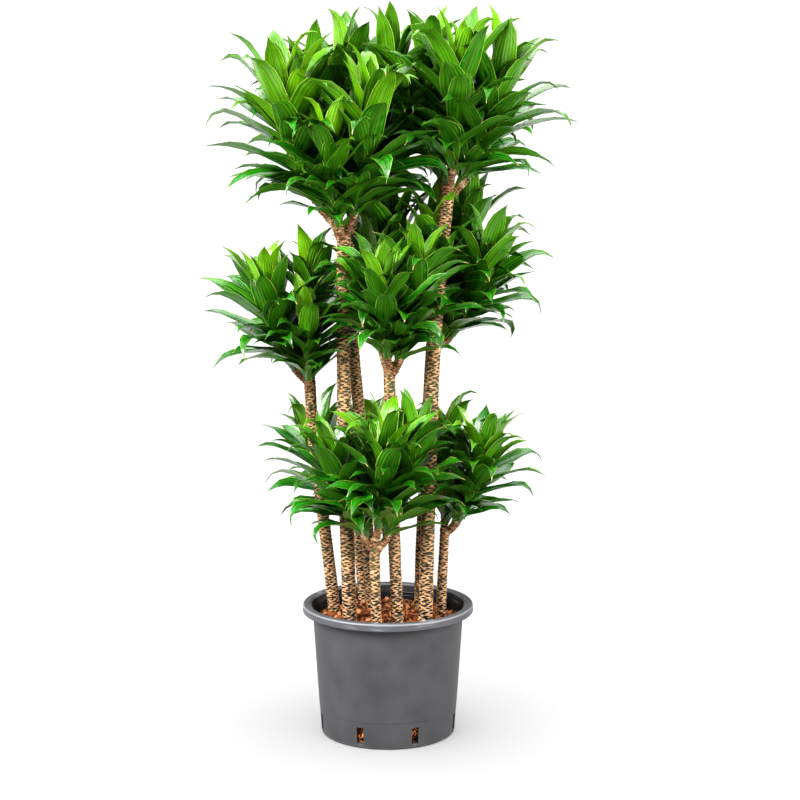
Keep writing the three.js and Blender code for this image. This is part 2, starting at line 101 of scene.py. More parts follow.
CANES = (
    Cane(
        "tall_left",
        14,
        ((-75, -45, 235), (-82, -43, 479), (-85, -42, 716), (-84, -40, 1017)),
        (
            Shoot("left", (-198, -62, 1224), 185, 33),
            Shoot("right", (-34, -104, 1198), 180, 33),
            Shoot("front", (-108, -118, 1144), 135, 24),
            Shoot("back", (-146, 36, 1250), 170, 30, 0.3),
        ),
    ),
    Cane(
        "tall_back",
        12.5,
        ((-31, 62, 235), (-40, 66, 361), (-58, 72, 633), (-69, 82, 760), (-66, 104, 1057)),
        (
            Shoot("left", (-84, 92, 1292), 165, 27, 0.5),
            Shoot("right", (6, 78, 1296), 165, 30, 0.5),
            Shoot("back", (-55, 205, 1255), 160, 30, 0.4),
            Shoot("front", (30, 22, 1190), 160, 27, 0.2, (3, -35, 76, 44, 118)),
        ),
    ),
    Cane(
        "tall_right",
        14,
        ((74, -45, 235), (79, -42, 437), (91, -30, 793), (117, -10, 1092)),
        (
            Shoot("front", (136, -60, 1276), 175, 33),
            Shoot("right", (212, -16, 1246), 180, 33),
            Shoot("back", (84, 72, 1282), 170, 30, 0.4),
        ),
    ),
    Cane(
        "middle_left",
        12,
        ((-107, 10, 235), (-116, 8, 324), (-148, 5, 608), (-154, 0, 720)),
        (
            Shoot("left", (-232, -14, 842), 165, 30, 0.2),
            Shoot("back", (-150, 50, 885), 143, 27, 0.35),
            Shoot("front", (-156, -58, 812), 120, 21, 0.1),
        ),
    ),
    Cane(
        "middle_front",
        12,
        ((19, -60, 235), (12, -60, 422), (6, -60, 600), (3, -60, 754)),
        (
            Shoot("front", (-8, -126, 870), 150, 30, 0.3),
            Shoot("left", (-30, -12, 905), 165, 27, 0.5, (1, -115, 14, 12, 84)),
            Shoot("right", (60, -84, 905), 150, 27, 0.45),
        ),
    ),
    Cane(
        "middle_back",
        11.5,
        ((64, 45, 235), (67, 46, 365), (79, 50, 633), (88, 60, 802)),
        (
            Shoot("left", (4, 64, 985), 165, 27, 0.4),
            Shoot("front", (92, 16, 966), 150, 24, 0.4),
            Shoot("back", (156, 96, 985), 160, 30, 0.35),
            Shoot("right", (186, 20, 908), 160, 30, 0.3),
        ),
    ),
    Cane(
        "short_front",
        10.5,
        ((-22, -85, 235), (-24, -85, 300), (-25, -85, 360), (-25, -85, 414)),
        (
            Shoot("front", (-6, -134, 560), 155, 33, 0.25),
            Shoot("left", (-98, -90, 534), 155, 27, 0.4, (7, -76, 60, 92, 124)),
            Shoot("right", (46, -98, 560), 155, 27, 0.35),
        ),
    ),
    Cane(
        "short_right",
        10,
        ((106, 4, 235), (108, 4, 300), (111, 5, 360), (113, 5, 414)),
        (
            Shoot("right", (184, -14, 538), 146, 30, 0.25),
            Shoot("back", (112, 64, 556), 145, 27, 0.25),
        ),
    ),
    Cane(
        "short_back",
        10,
        ((-51, 115, 235), (-56, 116, 290), (-61, 117, 345), (-67, 118, 408)),
        (
            Shoot("left", (-148, 84, 552), 145, 30, 0.3),
            Shoot("back", (-34, 170, 530), 145, 27, 0.3),
        ),
    ),
)

PLANTING_Z = 136  # where the canes end in the soil
CANE_TAPER = 0.92
SHOOT_DROP = 14
SHOOT_STEP = 9
SHOOT_BEND = np.array([0.72, 0.72, 0.3])
BARE_SHARE = 0.24  # the share of a shoot that is bare wood
WOOD_END = BARE_SHARE + 0.012  # the wood reaches a little into the stem
WOOD_RADIUS = 8
WOOD_TAPER = 0.9
WOOD_GRAIN = 1.5  # from one ring of points to the next
WOOD_COLUMNS = 30
STEM_START = BARE_SHARE + 0.002
STEM_RADIUS = 6.5
STEM_GRID = (40, 12)  # rings, and points in each
BUD_RADIUS = 3.5
BURIED_STEPS = 60  # points of a cane's path in the soil
ROUTE_STEPS = 80  # and between two corners of its route
SHOOT_STEPS = 120
BARK_GRAIN = 1.15
CUT_RINGS = ((0.86, 0.3), (0.55, -0.4), (0.2, -0.2))  # their share of the radius, and their lift
OLIVE = {"short_front": 0.75, "middle_front": 0.5, "short_right": 0.3}  # how green their gaps are
OLIVE_OTHERS = 0.1

LEAVES_ROUND = 3  # in a level
LEVEL_TURN = (137.5 - 360) / LEAVES_ROUND  # degrees
LEAF_START = BARE_SHARE - 0.14  # the lowest leaves stand on the wood
LEAF_SPREAD = (14, 78)  # degrees from the shoot, for the youngest and the oldest leaf
OLD_RISE = 26  # degrees that the oldest leaves stand up from that again
LEAF_BEND = (8, 20)  # degrees, for the youngest and the oldest leaf
LEAF_SAG = 0.12
LEAF_ROLL = 56  # degrees from the one extreme to the other
LEAF_LIFT = 0.55  # how far a shoot's axis is turned upright for its leaves
LEAF_FOOT = 0.48  # its width as a share of the widest
WIDEST_AT = 0.48  # the share of a blade's length
LEAF_STATIONS = np.array([0, 0.06, 0.16, 0.28, 0.42, 0.55, 0.67, 0.78, 0.87, 0.945, 1.0])
LEAF_ACROSS = np.array([-1, -0.5, 0, 0.5, 1, 0.5, 0, -0.5])  # over the top, then back underneath
LEAF_UNDER = np.array([0, 0, 0, 0, 0, 1, 1, 1])

SLOT_ANGLES = np.array([-128, -76, -23.5, 23.5, 76, 128, 180])  # degrees from the front
SLOT_WIDTH = 14
SLOT_LOW = 6
SLOT_HIGH = 42
SLOT_SILL = 5  # how much higher a slot starts on the inside
SLOT_ROWS = 5
SLOT_ACROSS = np.array([-1, -0.5, 0, 0.5, 1])
SLOT_CLEAR = 0.8  # degrees from a slot's edge to the next column
FOOT_RADIUS = 134

CORNER_ROWS = 6

# The pot's profile as radius, height and how far from the corner its rounding starts. It runs from
# the middle of the underside, up the outside, over the rim and down to the floor inside.
POT_PROFILE = np.array([
    (131, 0, 1.2), (134, 3, 1), (137.3, 52, 0.8), (137.9, 54, 0.8), (150, 240, 3),
    (154.5, 257.5, 2.5), (166.5, 257.5, 1), (166.5, 246.5, 0.4), (170, 246.5, 1.2), (170, 259.5, 2),
    (167, 262, 1.5), (156, 262, 2), (152, 257.5, 2), (147, 240, 3), (131, 8, 2), (126, 3, 2.5),
])  # fmt: skip
BELOW_SLOTS_OUT = 1  # the last corner of the profile before the slots, on the outside
FIRST_INSIDE = 12  # the first one inside the rim
ABOVE_SLOTS_IN = 13  # the last one before the slots, on the inside
OUTER_WALL = POT_PROFILE[[BELOW_SLOTS_OUT, BELOW_SLOTS_OUT + 1], :2]
INNER_WALL = POT_PROFILE[[ABOVE_SLOTS_IN + 1, ABOVE_SLOTS_IN], :2]
PAINTED_HIGHLIGHT_EDGES = ((259.6, 2.2), (2.5, 1.4))  # painted highlights: the heights of the lines at the rim's upper edge and the foot's edge, and their width

SOIL_EDGE_Z = 226
SOIL_MOUND = 12
SOIL_RADIUS = 146.5
SOIL_SIDE = ((118, 9), (124, 16))  # radius and height, clear of the pot's foot
SOIL_WALL = ((121, 8), (144, 240))  # a little inside the pot's inner wall
SOIL_SHOULDER = 220  # the height where its side ends
SOIL_COLUMNS = 150
SOIL_RINGS = 56
BODY_SHADE_TONE = 0.2  # painted shade: the soil between the granules is painted dark
GOLDEN_TURN = 137.50776  # degrees
SLOT_GRANULES = 26  # behind each slot
LOW_SLOT = 2  # behind this one they reach less high
GRANULE_GRID = (4, 6)  # rings, and points in each

IMAGE_PX = 800
CAMERA_FOCAL_PX = 1901
CAMERA_PLACE = (0.024, -3.7, 1.23)
CAMERA_DOWN = 8.6  # degrees
FLOOR_HALF = 60.0  # metres
FLOOR_Z = -0.0005
LIT_POINT = (0, 0, 0.8)
STUDIO_LIGHTS = (  # name, place, size and watts
    ("key", (-2.8, -2.2, 2.8), (2.0, 2.0), 385),
    ("fill", (3.0, -1.8, 2.0), (2.0, 2.0), 215),
    ("top", (0.2, 1.4, 3.4), (2.4, 1.6), 25),
)
ROOM_LIGHT = 0.08  # the white room as a light, where the room as seen is 1
SKY_STRENGTH = 3.4
SKY_SPREAD = 120  # degrees
SKY_TURN = (8, 0, -32)


# ---- What a user may change -------------------------------------------------------------------


def hex_colour(name, description, code):
    """A property for a colour, whose default is an sRGB hex value."""
    return FloatVectorProperty(
        name=name, description=description, default=linear(code), size=4, subtype="COLOR"
    )


class CORNPLANT_PG_leaves(bpy.types.PropertyGroup):
    """Sizes and colours of the leaves."""

    width: FloatProperty(
        name="Width",
        description="Width of a leaf as a share of its length",
        default=0.238,
        min=0.1,
        max=0.4,
    )
    thickness: FloatProperty(
        name="Thickness",
        description="Thickness of a leaf along its middle line",
        default=0.9 * MM,
        min=0.2 * MM,
        unit="LENGTH",
    )
    wave: FloatProperty(
        name="Margin Wave",
        description="How far the margins wave up and down",
        default=2.2 * MM,
        unit="LENGTH",
    )
    curl: FloatProperty(
        name="Tip Curl",
        description="How far the last part of a leaf bends back",
        default=math.radians(44),
        subtype="ANGLE",
    )
    fillers: FloatProperty(
        name="Fillers",
        description="Share of extra short leaves between the others",
        default=0.5,
        min=0,
        max=1,
        subtype="FACTOR",
    )
    young: hex_colour("Young Leaf", "Colour of the leaves round the growing tip", "#76af00")
    grown: hex_colour("Grown Leaf", "Colour of the older leaves", "#178503")
    deep: hex_colour("Deep Stripe", "Colour of the dark stripes between the veins", "#043405")
    margin: hex_colour("Margin", "Colour of the thin pale margin", "#b4cf5e")
    underside: hex_colour("Underside", "Colour of the dull underside", "#527d18")
    dry: hex_colour("Dry Tip", "Colour of dried tips", "#c2a465")


class CORNPLANT_PG_bark(bpy.types.PropertyGroup):
    """Sizes and colours of the canes' bark."""

    gap_width: FloatProperty(
        name="Gap Spacing Round",
        description="Distance from one gap of the net to the next, round the cane",
        default=16.5 * MM,
        unit="LENGTH",
    )
    gap_height: FloatProperty(
        name="Gap Spacing Up",
        description="Distance from one row of gaps to the next",
        default=4.0 * MM,
        unit="LENGTH",
    )
    relief: FloatProperty(
        name="Relief",
        description="How far the corky strands stand out",
        default=0.9 * MM,
        unit="LENGTH",
    )
    cork: hex_colour("Cork", "Colour of the corky strands", "#c4996f")
    torn_edge: hex_colour("Torn Edge", "Colour of the cork beside a gap", "#6b4824")
    light: hex_colour("Light Cork", "Colour of the palest cork", "#d0aa82")
    olive: hex_colour("Olive Gap", "Colour of the gaps on young, thin canes", "#44572a")
    # The gap colours are the cane's green skin, darkened with painted shade in the gaps.
    gap: hex_colour("Gap", "Colour of the green cane in the gaps", "#061609")
    gap_light: hex_colour("Light Gap", "Colour of the palest green in the gaps", "#2a5630")
    scar: hex_colour("Scar", "Dark colour of the scars that lost leaves leave", "#3c2415")
    paper: hex_colour("Paper", "Light colour of the papery skin of the scars", "#bd8a5c")
    wood: hex_colour("Cut Wood", "Colour of the sawn top", "#d9c49a")


class CORNPLANT_PG_pot(bpy.types.PropertyGroup):
    """Sizes and colours of the pot and its soil."""

    columns: IntProperty(
        name="Columns", description="Number of faces round the pot", default=180, min=48, max=360
    )
    plastic: hex_colour("Plastic", "Colour of the pot", "#3a3a3c")
    # The scuff colour also paints the highlights on the rim and along the foot's edge.
    scuff: hex_colour("Scuff", "Colour of the scuffs on the pot", "#9a9ba0")
    granules: IntProperty(
        name="Granules",
        description="Number of loose granules on the soil",
        default=1500,
        min=0,
        max=3000,
    )
    granule_size: FloatProperty(
        name="Granule Size", description="Size of a usual granule", default=9.5 * MM, unit="LENGTH"
    )
    soil: hex_colour("Soil", "Colour of the granules", "#874a24")
    soil_light: hex_colour("Light Soil", "Colour of the palest granules", "#c99260")
    soil_dark: hex_colour("Dark Soil", "Colour of the darkest granules", "#2a1308")


class CORNPLANT_PG_settings(bpy.types.PropertyGroup):
    """All settings of the plant."""

    leaves: PointerProperty(type=CORNPLANT_PG_leaves)
    bark: PointerProperty(type=CORNPLANT_PG_bark)
    pot: PointerProperty(type=CORNPLANT_PG_pot)


# ---- Small sums -------------------------------------------------------------------------------


def draw(a, b):
    """Repeatable draws from 0 to 1: the fraction of 43758.5453 · sin(12.9898 a + 78.233 b)."""
    s = np.sin(np.asarray(a) * 12.9898 + np.asarray(b) * 78.233) * 43758.5453
    return s - np.floor(s)


def ease(low, high, value):
    """0 below low and 1 above high, with the cubic 3s² − 2s³ of the share s between them."""
    s = np.clip((value - low) / (high - low), 0.0, 1.0)
    return s * s * (3.0 - 2.0 * s)


def blend(low, high, share):
    return low + (high - low) * share


def unit(vectors):
    return vectors / np.linalg.norm(vectors, axis=-1, keepdims=True)


def mottle(points, size, seed):
    """Smooth noise from -1 to 1: draws at the corners of a cubic lattice, eased along each axis."""
    cell = np.floor(points / size)
    share = ease(0.0, 1.0, points / size - cell)
    total = 0.0
    for corner in np.ndindex(2, 2, 2):
        weight = np.prod(np.where(corner, share, 1.0 - share), axis=-1)
        total = total + weight * draw((cell + corner) @ np.array([1.0, 57.0, 113.0]), seed)
    return 2.0 * total - 1.0


def evenly(path, shares):
    """The points and directions at shares of a dense path's length, and that length."""
    steps = np.linalg.norm(np.diff(path, axis=0), axis=1)
    run = np.concatenate([[0.0], np.cumsum(steps)])
    ways = np.gradient(path, axis=0)
    at = np.asarray(shares) * run[-1]
    points, directions = (
        np.stack([np.interp(at, run, line[:, i]) for i in range(3)], axis=-1)
        for line in (path, ways)
    )
    return points, unit(directions), run[-1]


def cane_path(cane):
    """A dense path of a cane, straight down into the soil and then along its route.

    Between two corners it is the cubic Hermite curve p1 (1+2t)(1−t)² + m1 t(1−t)² + p2 t²(3−2t)
    + m2 t²(t−1), and the slopes m are those of the curve through the corners whose parameter
    grows with the square root of their distance.
    """
    corners = np.array(cane.route, float)
    p = np.vstack([2 * corners[0] - corners[1], corners, 2 * corners[-1] - corners[-2]])
    d = np.sqrt(np.linalg.norm(np.diff(p, axis=0), axis=1))[:, None]
    p0, p1, p2, p3 = p[:-3], p[1:-2], p[2:-1], p[3:]
    d0, d1, d2 = d[:-2], d[1:-1], d[2:]
    m1 = ((p1 - p0) / d0 - (p2 - p0) / (d0 + d1) + (p2 - p1) / d1) * d1
    m2 = ((p2 - p1) / d1 - (p3 - p1) / (d1 + d2) + (p3 - p2) / d2) * d1
    t = np.linspace(0, 1, ROUTE_STEPS, endpoint=False)[None, :, None]
    p1, p2, m1, m2 = (x[:, None, :] for x in (p1, p2, m1, m2))
    curve = p1 * (1 + 2 * t) * (1 - t) ** 2 + m1 * t * (1 - t) ** 2
    curve = curve + p2 * t**2 * (3 - 2 * t) + m2 * t**2 * (t - 1)
    depth = np.linspace(PLANTING_Z - corners[0, 2], 0, BURIED_STEPS, endpoint=False)
    below = corners[0] + depth[:, None] * UP
    return np.vstack([below, curve.reshape(-1, 3), corners[-1:]])


def shoot_path(cane, shoot, index):
    """A dense path of a shoot from foot f by turn c to end e: f(1−t)² + 2c t(1−t) + e t²."""
    foot = np.array(cane.route[-1], float) - (SHOOT_DROP + SHOOT_STEP * index) * UP
    end = np.array(shoot.tip, float)
    turn = foot + (end - foot) * SHOOT_BEND
    t = np.linspace(0, 1, SHOOT_STEPS)[:, None]
    return foot * (1 - t) ** 2 + 2 * turn * t * (1 - t) + end * t**2


def turned(radius, angle, height):
    """Points about the upright axis: radius · cos angle, radius · sin angle, height."""
    parts = np.broadcast_arrays(radius * np.cos(angle), radius * np.sin(angle), height)
    return np.stack(parts, axis=-1)


def circle(columns):
    """The angles of a ring of points, in radians."""
    return np.arange(columns) / columns * 2 * math.pi


def around(ways):
    """Two directions square to each way: the first is north × way, the second way × the first."""
    across = unit(np.cross(NORTH, ways))
    return across, np.cross(ways, across)


def tube_points(centres, ways, radii):
    """Rings round a path: centre(i) + radius(i, j) (across(i) cos a(j) + along(i) sin a(j))."""
    across, along = around(ways)
    angles = circle(radii.shape[1])[None, :, None]
    spoke = across[:, None] * np.cos(angles) + along[:, None] * np.sin(angles)
    return centres[:, None] + radii[..., None] * spoke


def tube_faces(rows, columns):
    """The faces of a closed tube: quads between its rings, and a fan to a pole at each end.

    The rings are numbered first, then the pole under the first ring, then the one over the last.
    """
    ring = np.arange(columns)
    after = (ring + 1) % columns
    first = np.arange(rows - 1)[:, None] * columns
    on = first + columns
    quads = np.stack([first + ring, first + after, on + after, on + ring], axis=-1)
    last = (rows - 1) * columns
    low = np.stack([after, ring, np.full(columns, rows * columns)], axis=-1)
    high = np.stack([last + ring, last + after, np.full(columns, rows * columns + 1)], axis=-1)
    return quads.reshape(-1, 4), np.vstack([low, high])


def copies(faces, count, stride):
    """The same faces for a number of copies, whose vertices are a stride apart."""
    shift = np.arange(count)[:, None, None] * stride
    return (faces[None] + shift).reshape(-1, faces.shape[1])


# ---- Meshes -----------------------------------------------------------------------------------


class Surface(NamedTuple):
    """Points in millimetres, quads, triangles, and one value a point under each name."""

    points: np.ndarray
    quads: np.ndarray
    triangles: np.ndarray
    values: dict


def joined(surfaces):
    """Several surfaces as one, with the faces of each shifted past the points before it."""
    starts = np.cumsum([0] + [len(s.points) for s in surfaces])
    return Surface(
        np.vstack([s.points for s in surfaces]),
        np.vstack([s.quads + start for s, start in zip(surfaces, starts)]),
        np.vstack([s.triangles + start for s, start in zip(surfaces, starts)]),
        {key: np.concatenate([s.values[key] for s in surfaces]) for key in surfaces[0].values},
    )


def tube(rings, poles, **values):
    """A closed tube from its rings and two poles, which get the mean value of the ring beside."""
    points = np.vstack([rings.reshape(-1, 3), poles])
    values = {
        key: np.concatenate([value.reshape(-1), [value[0].mean(), value[-1].mean()]])
        for key, value in values.items()
    }
    return Surface(points, *tube_faces(*rings.shape[:2]), values)


def placed(name, data, place=(0, 0, 0), turn=(0, 0, 0)):
    """A new object in the scene, at a place in metres and turned by three angles."""
    thing = bpy.data.objects.new(name, data)
    thing.location = place
    thing.rotation_euler = turn
    bpy.context.scene.collection.objects.link(thing)
    return thing


def make_piece(name, surface, material, smooth_angle):
    """Makes the surface a mesh object at the origin that stands for the node of the same name.

    Edges sharper than smooth_angle, in degrees, stay sharp. Points with the values u and v also
    get these as a UV map, with 2 added to v on the underside of a leaf.
    """
    mesh = bpy.data.meshes.new(name)
    faces = surface.quads.tolist() + surface.triangles.tolist()
    mesh.from_pydata((surface.points * MM).tolist(), [], faces)
    mesh.shade_smooth()
    mesh.set_sharp_from_angle(angle=math.radians(smooth_angle))
    for key, value in surface.values.items():
        if key in ("u", "v", "under"):
            continue
        layer = mesh.attributes.new(key, "FLOAT", "POINT")
        layer.data.foreach_set("value", value.astype(np.float32))
    if "u" in surface.values:
        u, v, under = (surface.values[key] for key in ("u", "v", "under"))
        below = [under[group].sum(axis=1) > 0 for group in (surface.quads, surface.triangles)]
        corners = np.concatenate([surface.quads.reshape(-1), surface.triangles.reshape(-1)])
        below = np.concatenate([np.repeat(below[0], 4), np.repeat(below[1], 3)])
        uv = np.stack([u[corners], v[corners] + 2 * below], axis=-1)
        layer = mesh.uv_layers.new(name="blade")
        layer.data.foreach_set("uv", uv.reshape(-1).astype(np.float32))
    mesh.materials.append(material)
    piece = placed("fine_" + name, mesh)
    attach(piece, "root")
    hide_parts(name)


# ---- The leafy heads --------------------------------------------------------------------------


def blade_half_width(t, half):
    """Half a blade's width at the share t: a clasping foot, a rise to the widest, a drawn-out tip.

    Up to WIDEST_AT it is a quarter sine, to the power 1.2, on the width of the foot. After it, with
    the share u of the way to the tip, it is (1 − u^2.3) to the power 1.2, and the last part is
    halved for a thread-like tip.
    """
    rise = np.sin(math.pi / 2 * np.clip(t / WIDEST_AT, 0, 1)) ** 1.2
    rise = LEAF_FOOT + (1 - LEAF_FOOT) * rise
    fall = (1 - np.clip((t - WIDEST_AT) / (1 - WIDEST_AT), 0, 1) ** 2.3) ** 1.2
    return half * rise * fall * (1 - 0.5 * ease(0.8, 0.96, t))


def leaf_plan(number, shoot, k):
    """How each leaf k of a head stands, as arrays of degrees, lengths and shares.

    The leaves stand in levels of LEAVES_ROUND, evenly round the shoot, and each level is turned by
    LEVEL_TURN. A leaf numbered with a half is a filler, in between and shorter. Young leaves at the
    tip stand upright, and the spread grows with age and falls a little for the oldest. The number
    before a chance is the full range of that measure's own draw.
    """
    age = np.clip(1 - k / (shoot.leaves - 1), 0, 1)
    seeds = number * 37 + k

    def chance(j):
        return draw(seeds, j) - 0.5

    level = np.floor(k / LEAVES_ROUND) + 1
    in_level = 360 / LEAVES_ROUND * (k % LEAVES_ROUND + 0.5)
    growth = 0.62 + 0.38 * np.sin(math.pi * np.minimum(1, age * 0.64 + 0.2))
    filler = k != np.floor(k)
    plan = {
        "age": age,
        "azimuth": np.radians(level * LEVEL_TURN + in_level + 34 * chance(1)),
        "spread": blend(*LEAF_SPREAD, age**0.85) - OLD_RISE * ease(0.62, 1, age) + 22 * chance(2),
        "length": shoot.leaf * growth * (1.24 + 0.2 * chance(3)) * np.where(filler, 0.85, 1),
        "bend": blend(*LEAF_BEND, age) + 34 * chance(4),
        "roll": np.radians(LEAF_ROLL * chance(5)),
        "curl": 0.45 + 2.6 * draw(seeds, 6) ** 3,
        "phase": 2 * math.pi * np.stack([draw(seeds, 7), draw(seeds, 8)]),
        # The tone adds a random share, and a darker green that is partly painted shade on lower and
        # back heads.
        "tone": np.minimum(draw(seeds, 9) + shoot.deeper_green_and_shade, 1.25),
        "sweep": np.radians(46 * chance(10)),
        "broad": 1 + 0.24 * chance(11),
    }
    if shoot.odd_leaf:
        which, *own = shoot.odd_leaf
        own[0] = math.radians(own[0])
        for name, value in zip(("azimuth", "spread", "bend", "length"), own):
            plan[name] = np.where(k == which, value, plan[name])
    return plan


def leaves_surface(settings, number, shoot, path, k):
    """All leaves k of a head as one surface.

    A leaf's middle line starts in the stem and steps along its direction: the shoot's axis turned
    towards the leaf's own side by an angle, less the sag t² downwards. The angle opens over the
    clasping foot to the spread, and grows by bend t² and at the tip by the curl. The side turns by
    sweep t, and the blade about its line by roll t. Across the line a blade rises from the middle
    by the fold angle, bulges by a half sine, and its margin waves by a sine of t. The underside
    lies one thickness lower, and meets the top at the margins.
    """
    plan = leaf_plan(number, shoot, k)
    shares = blend(LEAF_START, 1.0, np.clip(k / shoot.leaves, 0, 1))
    feet, ways, _ = evenly(path, shares)
    axis = unit(blend(ways, UP, LEAF_LIFT))
    east, north = around(axis)
    turn = plan["azimuth"][:, None]
    out = east * np.cos(turn) + north * np.sin(turn)
    across = np.cross(axis, out)
    stem = blend(STEM_RADIUS, BUD_RADIUS, k / shoot.leaves)[:, None]

    t = LEAF_STATIONS[None, :]

    def direction(t):
        opened = 0.2 + 0.8 * ease(-0.05, 0.38, t)
        angle = plan["spread"][:, None] * opened + plan["bend"][:, None] * t**2
        curl = math.degrees(settings.curl) * plan["curl"][:, None]
        angle = np.radians(angle + curl * ease(0.6, 1.05, t) ** 1.5)[..., None]
        side = (plan["sweep"][:, None] * t)[..., None]
        sag = LEAF_SAG * (t**2)[..., None] * UP
        outward = out[:, None] * np.cos(side) + across[:, None] * np.sin(side)
        return unit(axis[:, None] * np.cos(angle) + outward * np.sin(angle) - sag)

    middle = direction((t[:, 1:] + t[:, :-1]) / 2)
    steps = middle * (plan["length"][:, None] * np.diff(t))[..., None]
    walked = np.concatenate([np.zeros((len(k), 1, 3)), np.cumsum(steps, axis=1)], axis=1)
    centre = (feet + out * stem * 0.3)[:, None] + walked
    way = direction(t)
    flat = unit(across[:, None] - way * np.sum(across[:, None] * way, axis=-1, keepdims=True))
    roll = (plan["roll"][:, None] * t)[..., None]
    flat = flat * np.cos(roll) + np.cross(way, flat) * np.sin(roll)
    top = np.cross(way, flat)

    half = blade_half_width(t, settings.width / 2 * (plan["length"] * plan["broad"])[:, None])
    fold = np.radians(blend(60, 17, ease(0, 0.42, t)) + 10 * ease(0.7, 1, t))
    a = LEAF_ACROSS[None, None, :]
    wave_side = np.where(a < 0, plan["phase"][0][:, None, None], plan["phase"][1][:, None, None])
    wave = np.sin(wave_side + 2 * math.pi * 2.1 * t[..., None])
    height = np.abs(a) * half[..., None] * np.sin(fold)[..., None]
    height = height + 0.05 * half[..., None] * np.sin(math.pi * np.abs(a))
    amplitude = settings.wave / MM * ease(0.1, 0.4, t) * (1 - ease(0.85, 1, t))
    height = height + wave * np.abs(a) ** 1.5 * amplitude[..., None]
    thick = settings.thickness / MM * blend(1.6, 0.7, ease(0, 0.5, t))[..., None]
    height = height - LEAF_UNDER * thick * np.where(a == 0, 1.0, 0.7)
    aside = a * half[..., None] * np.cos(fold)[..., None]
    rings = centre[:, :, None] + flat[:, :, None] * aside[..., None]
    rings = rings + top[:, :, None] * height[..., None]

    rows, columns = len(LEAF_STATIONS) - 1, len(LEAF_ACROSS)
    count, stride = len(k), rows * columns + 2
    foot = rings[:, 0].mean(axis=1, keepdims=True)
    points = np.concatenate([rings[:, :-1].reshape(count, -1, 3), foot, centre[:, -1:]], axis=1)
    quads, triangles = (faces[:, ::-1] for faces in tube_faces(rows, columns))

    def each(ring_values, low, high):
        grid = np.broadcast_to(ring_values, (rows, columns)).reshape(-1)
        return np.tile(np.concatenate([grid, [low, high]]), count)

    return Surface(
        points.reshape(-1, 3),
        copies(quads, count, stride),
        copies(triangles, count, stride),
        {
            "u": each((LEAF_ACROSS[None, :] + 1) / 2, 0.5, 0.5),
            "v": each(LEAF_STATIONS[:-1, None], 0, 1),
            "under": each(LEAF_UNDER[None, :], 0, 0),
            "age": np.repeat(plan["age"], stride),
            "tone": np.repeat(plan["tone"], stride),
        },
    )


def stem_surface(path):
    """The green stem of a head: a tube whose radius falls evenly, with a low ring every 6 mm."""
    shares = np.linspace(STEM_START, 1.02, STEM_GRID[0])
    centres, ways, length = evenly(path, np.minimum(shares, 1))
    centres = centres + (np.maximum(shares - 1, 0) * length)[:, None] * ways
    taper = (shares - shares[0]) / (shares[-1] - shares[0])
    ripple = 0.35 * np.sin(2 * math.pi * shares * length / 6)
    radii = blend(STEM_RADIUS, BUD_RADIUS, taper) + ripple
    rings = tube_points(centres, ways, np.repeat(radii[:, None], STEM_GRID[1], axis=1))
    poles = np.stack([centres[0], centres[-1] + 2 * ways[-1]])
    half = np.full(STEM_GRID, 0.5)
    foot = np.full(STEM_GRID, 0.06)  # it has the colour of the leaves' clasping feet
    return tube(rings, poles, u=half, v=foot, under=0 * half, age=half, tone=half)


# ---- The canes --------------------------------------------------------------------------------


def cork_net(arc, run, girth, spacing, opening, seed):
    """How far each point is outside the nearest gap of the bark's net, and below 0 inside one.

    The gaps are flat lenses in rows, every second row shifted by half a gap, so that the cork
    between them crosses like a net. Each is moved, tilted and sized by its own draws. The value is
    half of (x/a)² + |z|/b − 1, with a the gap's half width and b its half height.
    """
    count = max(4, round(girth / spacing[0]))
    wide, tall = girth / count, spacing[1]
    row = np.floor(run / tall)
    nearest = np.full(np.broadcast(arc, run).shape, np.inf)
    for i in (-1, 0, 1, 2):
        for j in (-1, 0, 1, 2):
            r = row + i
            shift = 0.5 * (r % 2)
            c = np.floor(arc / wide - shift) + j
            name = (c % count) + 31.0 * r
            x = arc - (c + shift + 0.4 * draw(name, seed) - 0.2) * wide
            z = run - (r + 0.4 * draw(name, seed + 1) - 0.2) * tall
            tilt = 0.3 * draw(name, seed + 2) - 0.15
            size = opening * blend(0.62, 1.12, draw(name, seed + 3))
            lean, rise = x + tilt * z, z - tilt * x
            apart = (lean / (0.56 * wide * size)) ** 2 + np.abs(rise) / (0.46 * tall * size**0.3)
            nearest = np.minimum(nearest, apart)
    return 0.5 * (nearest - 1)


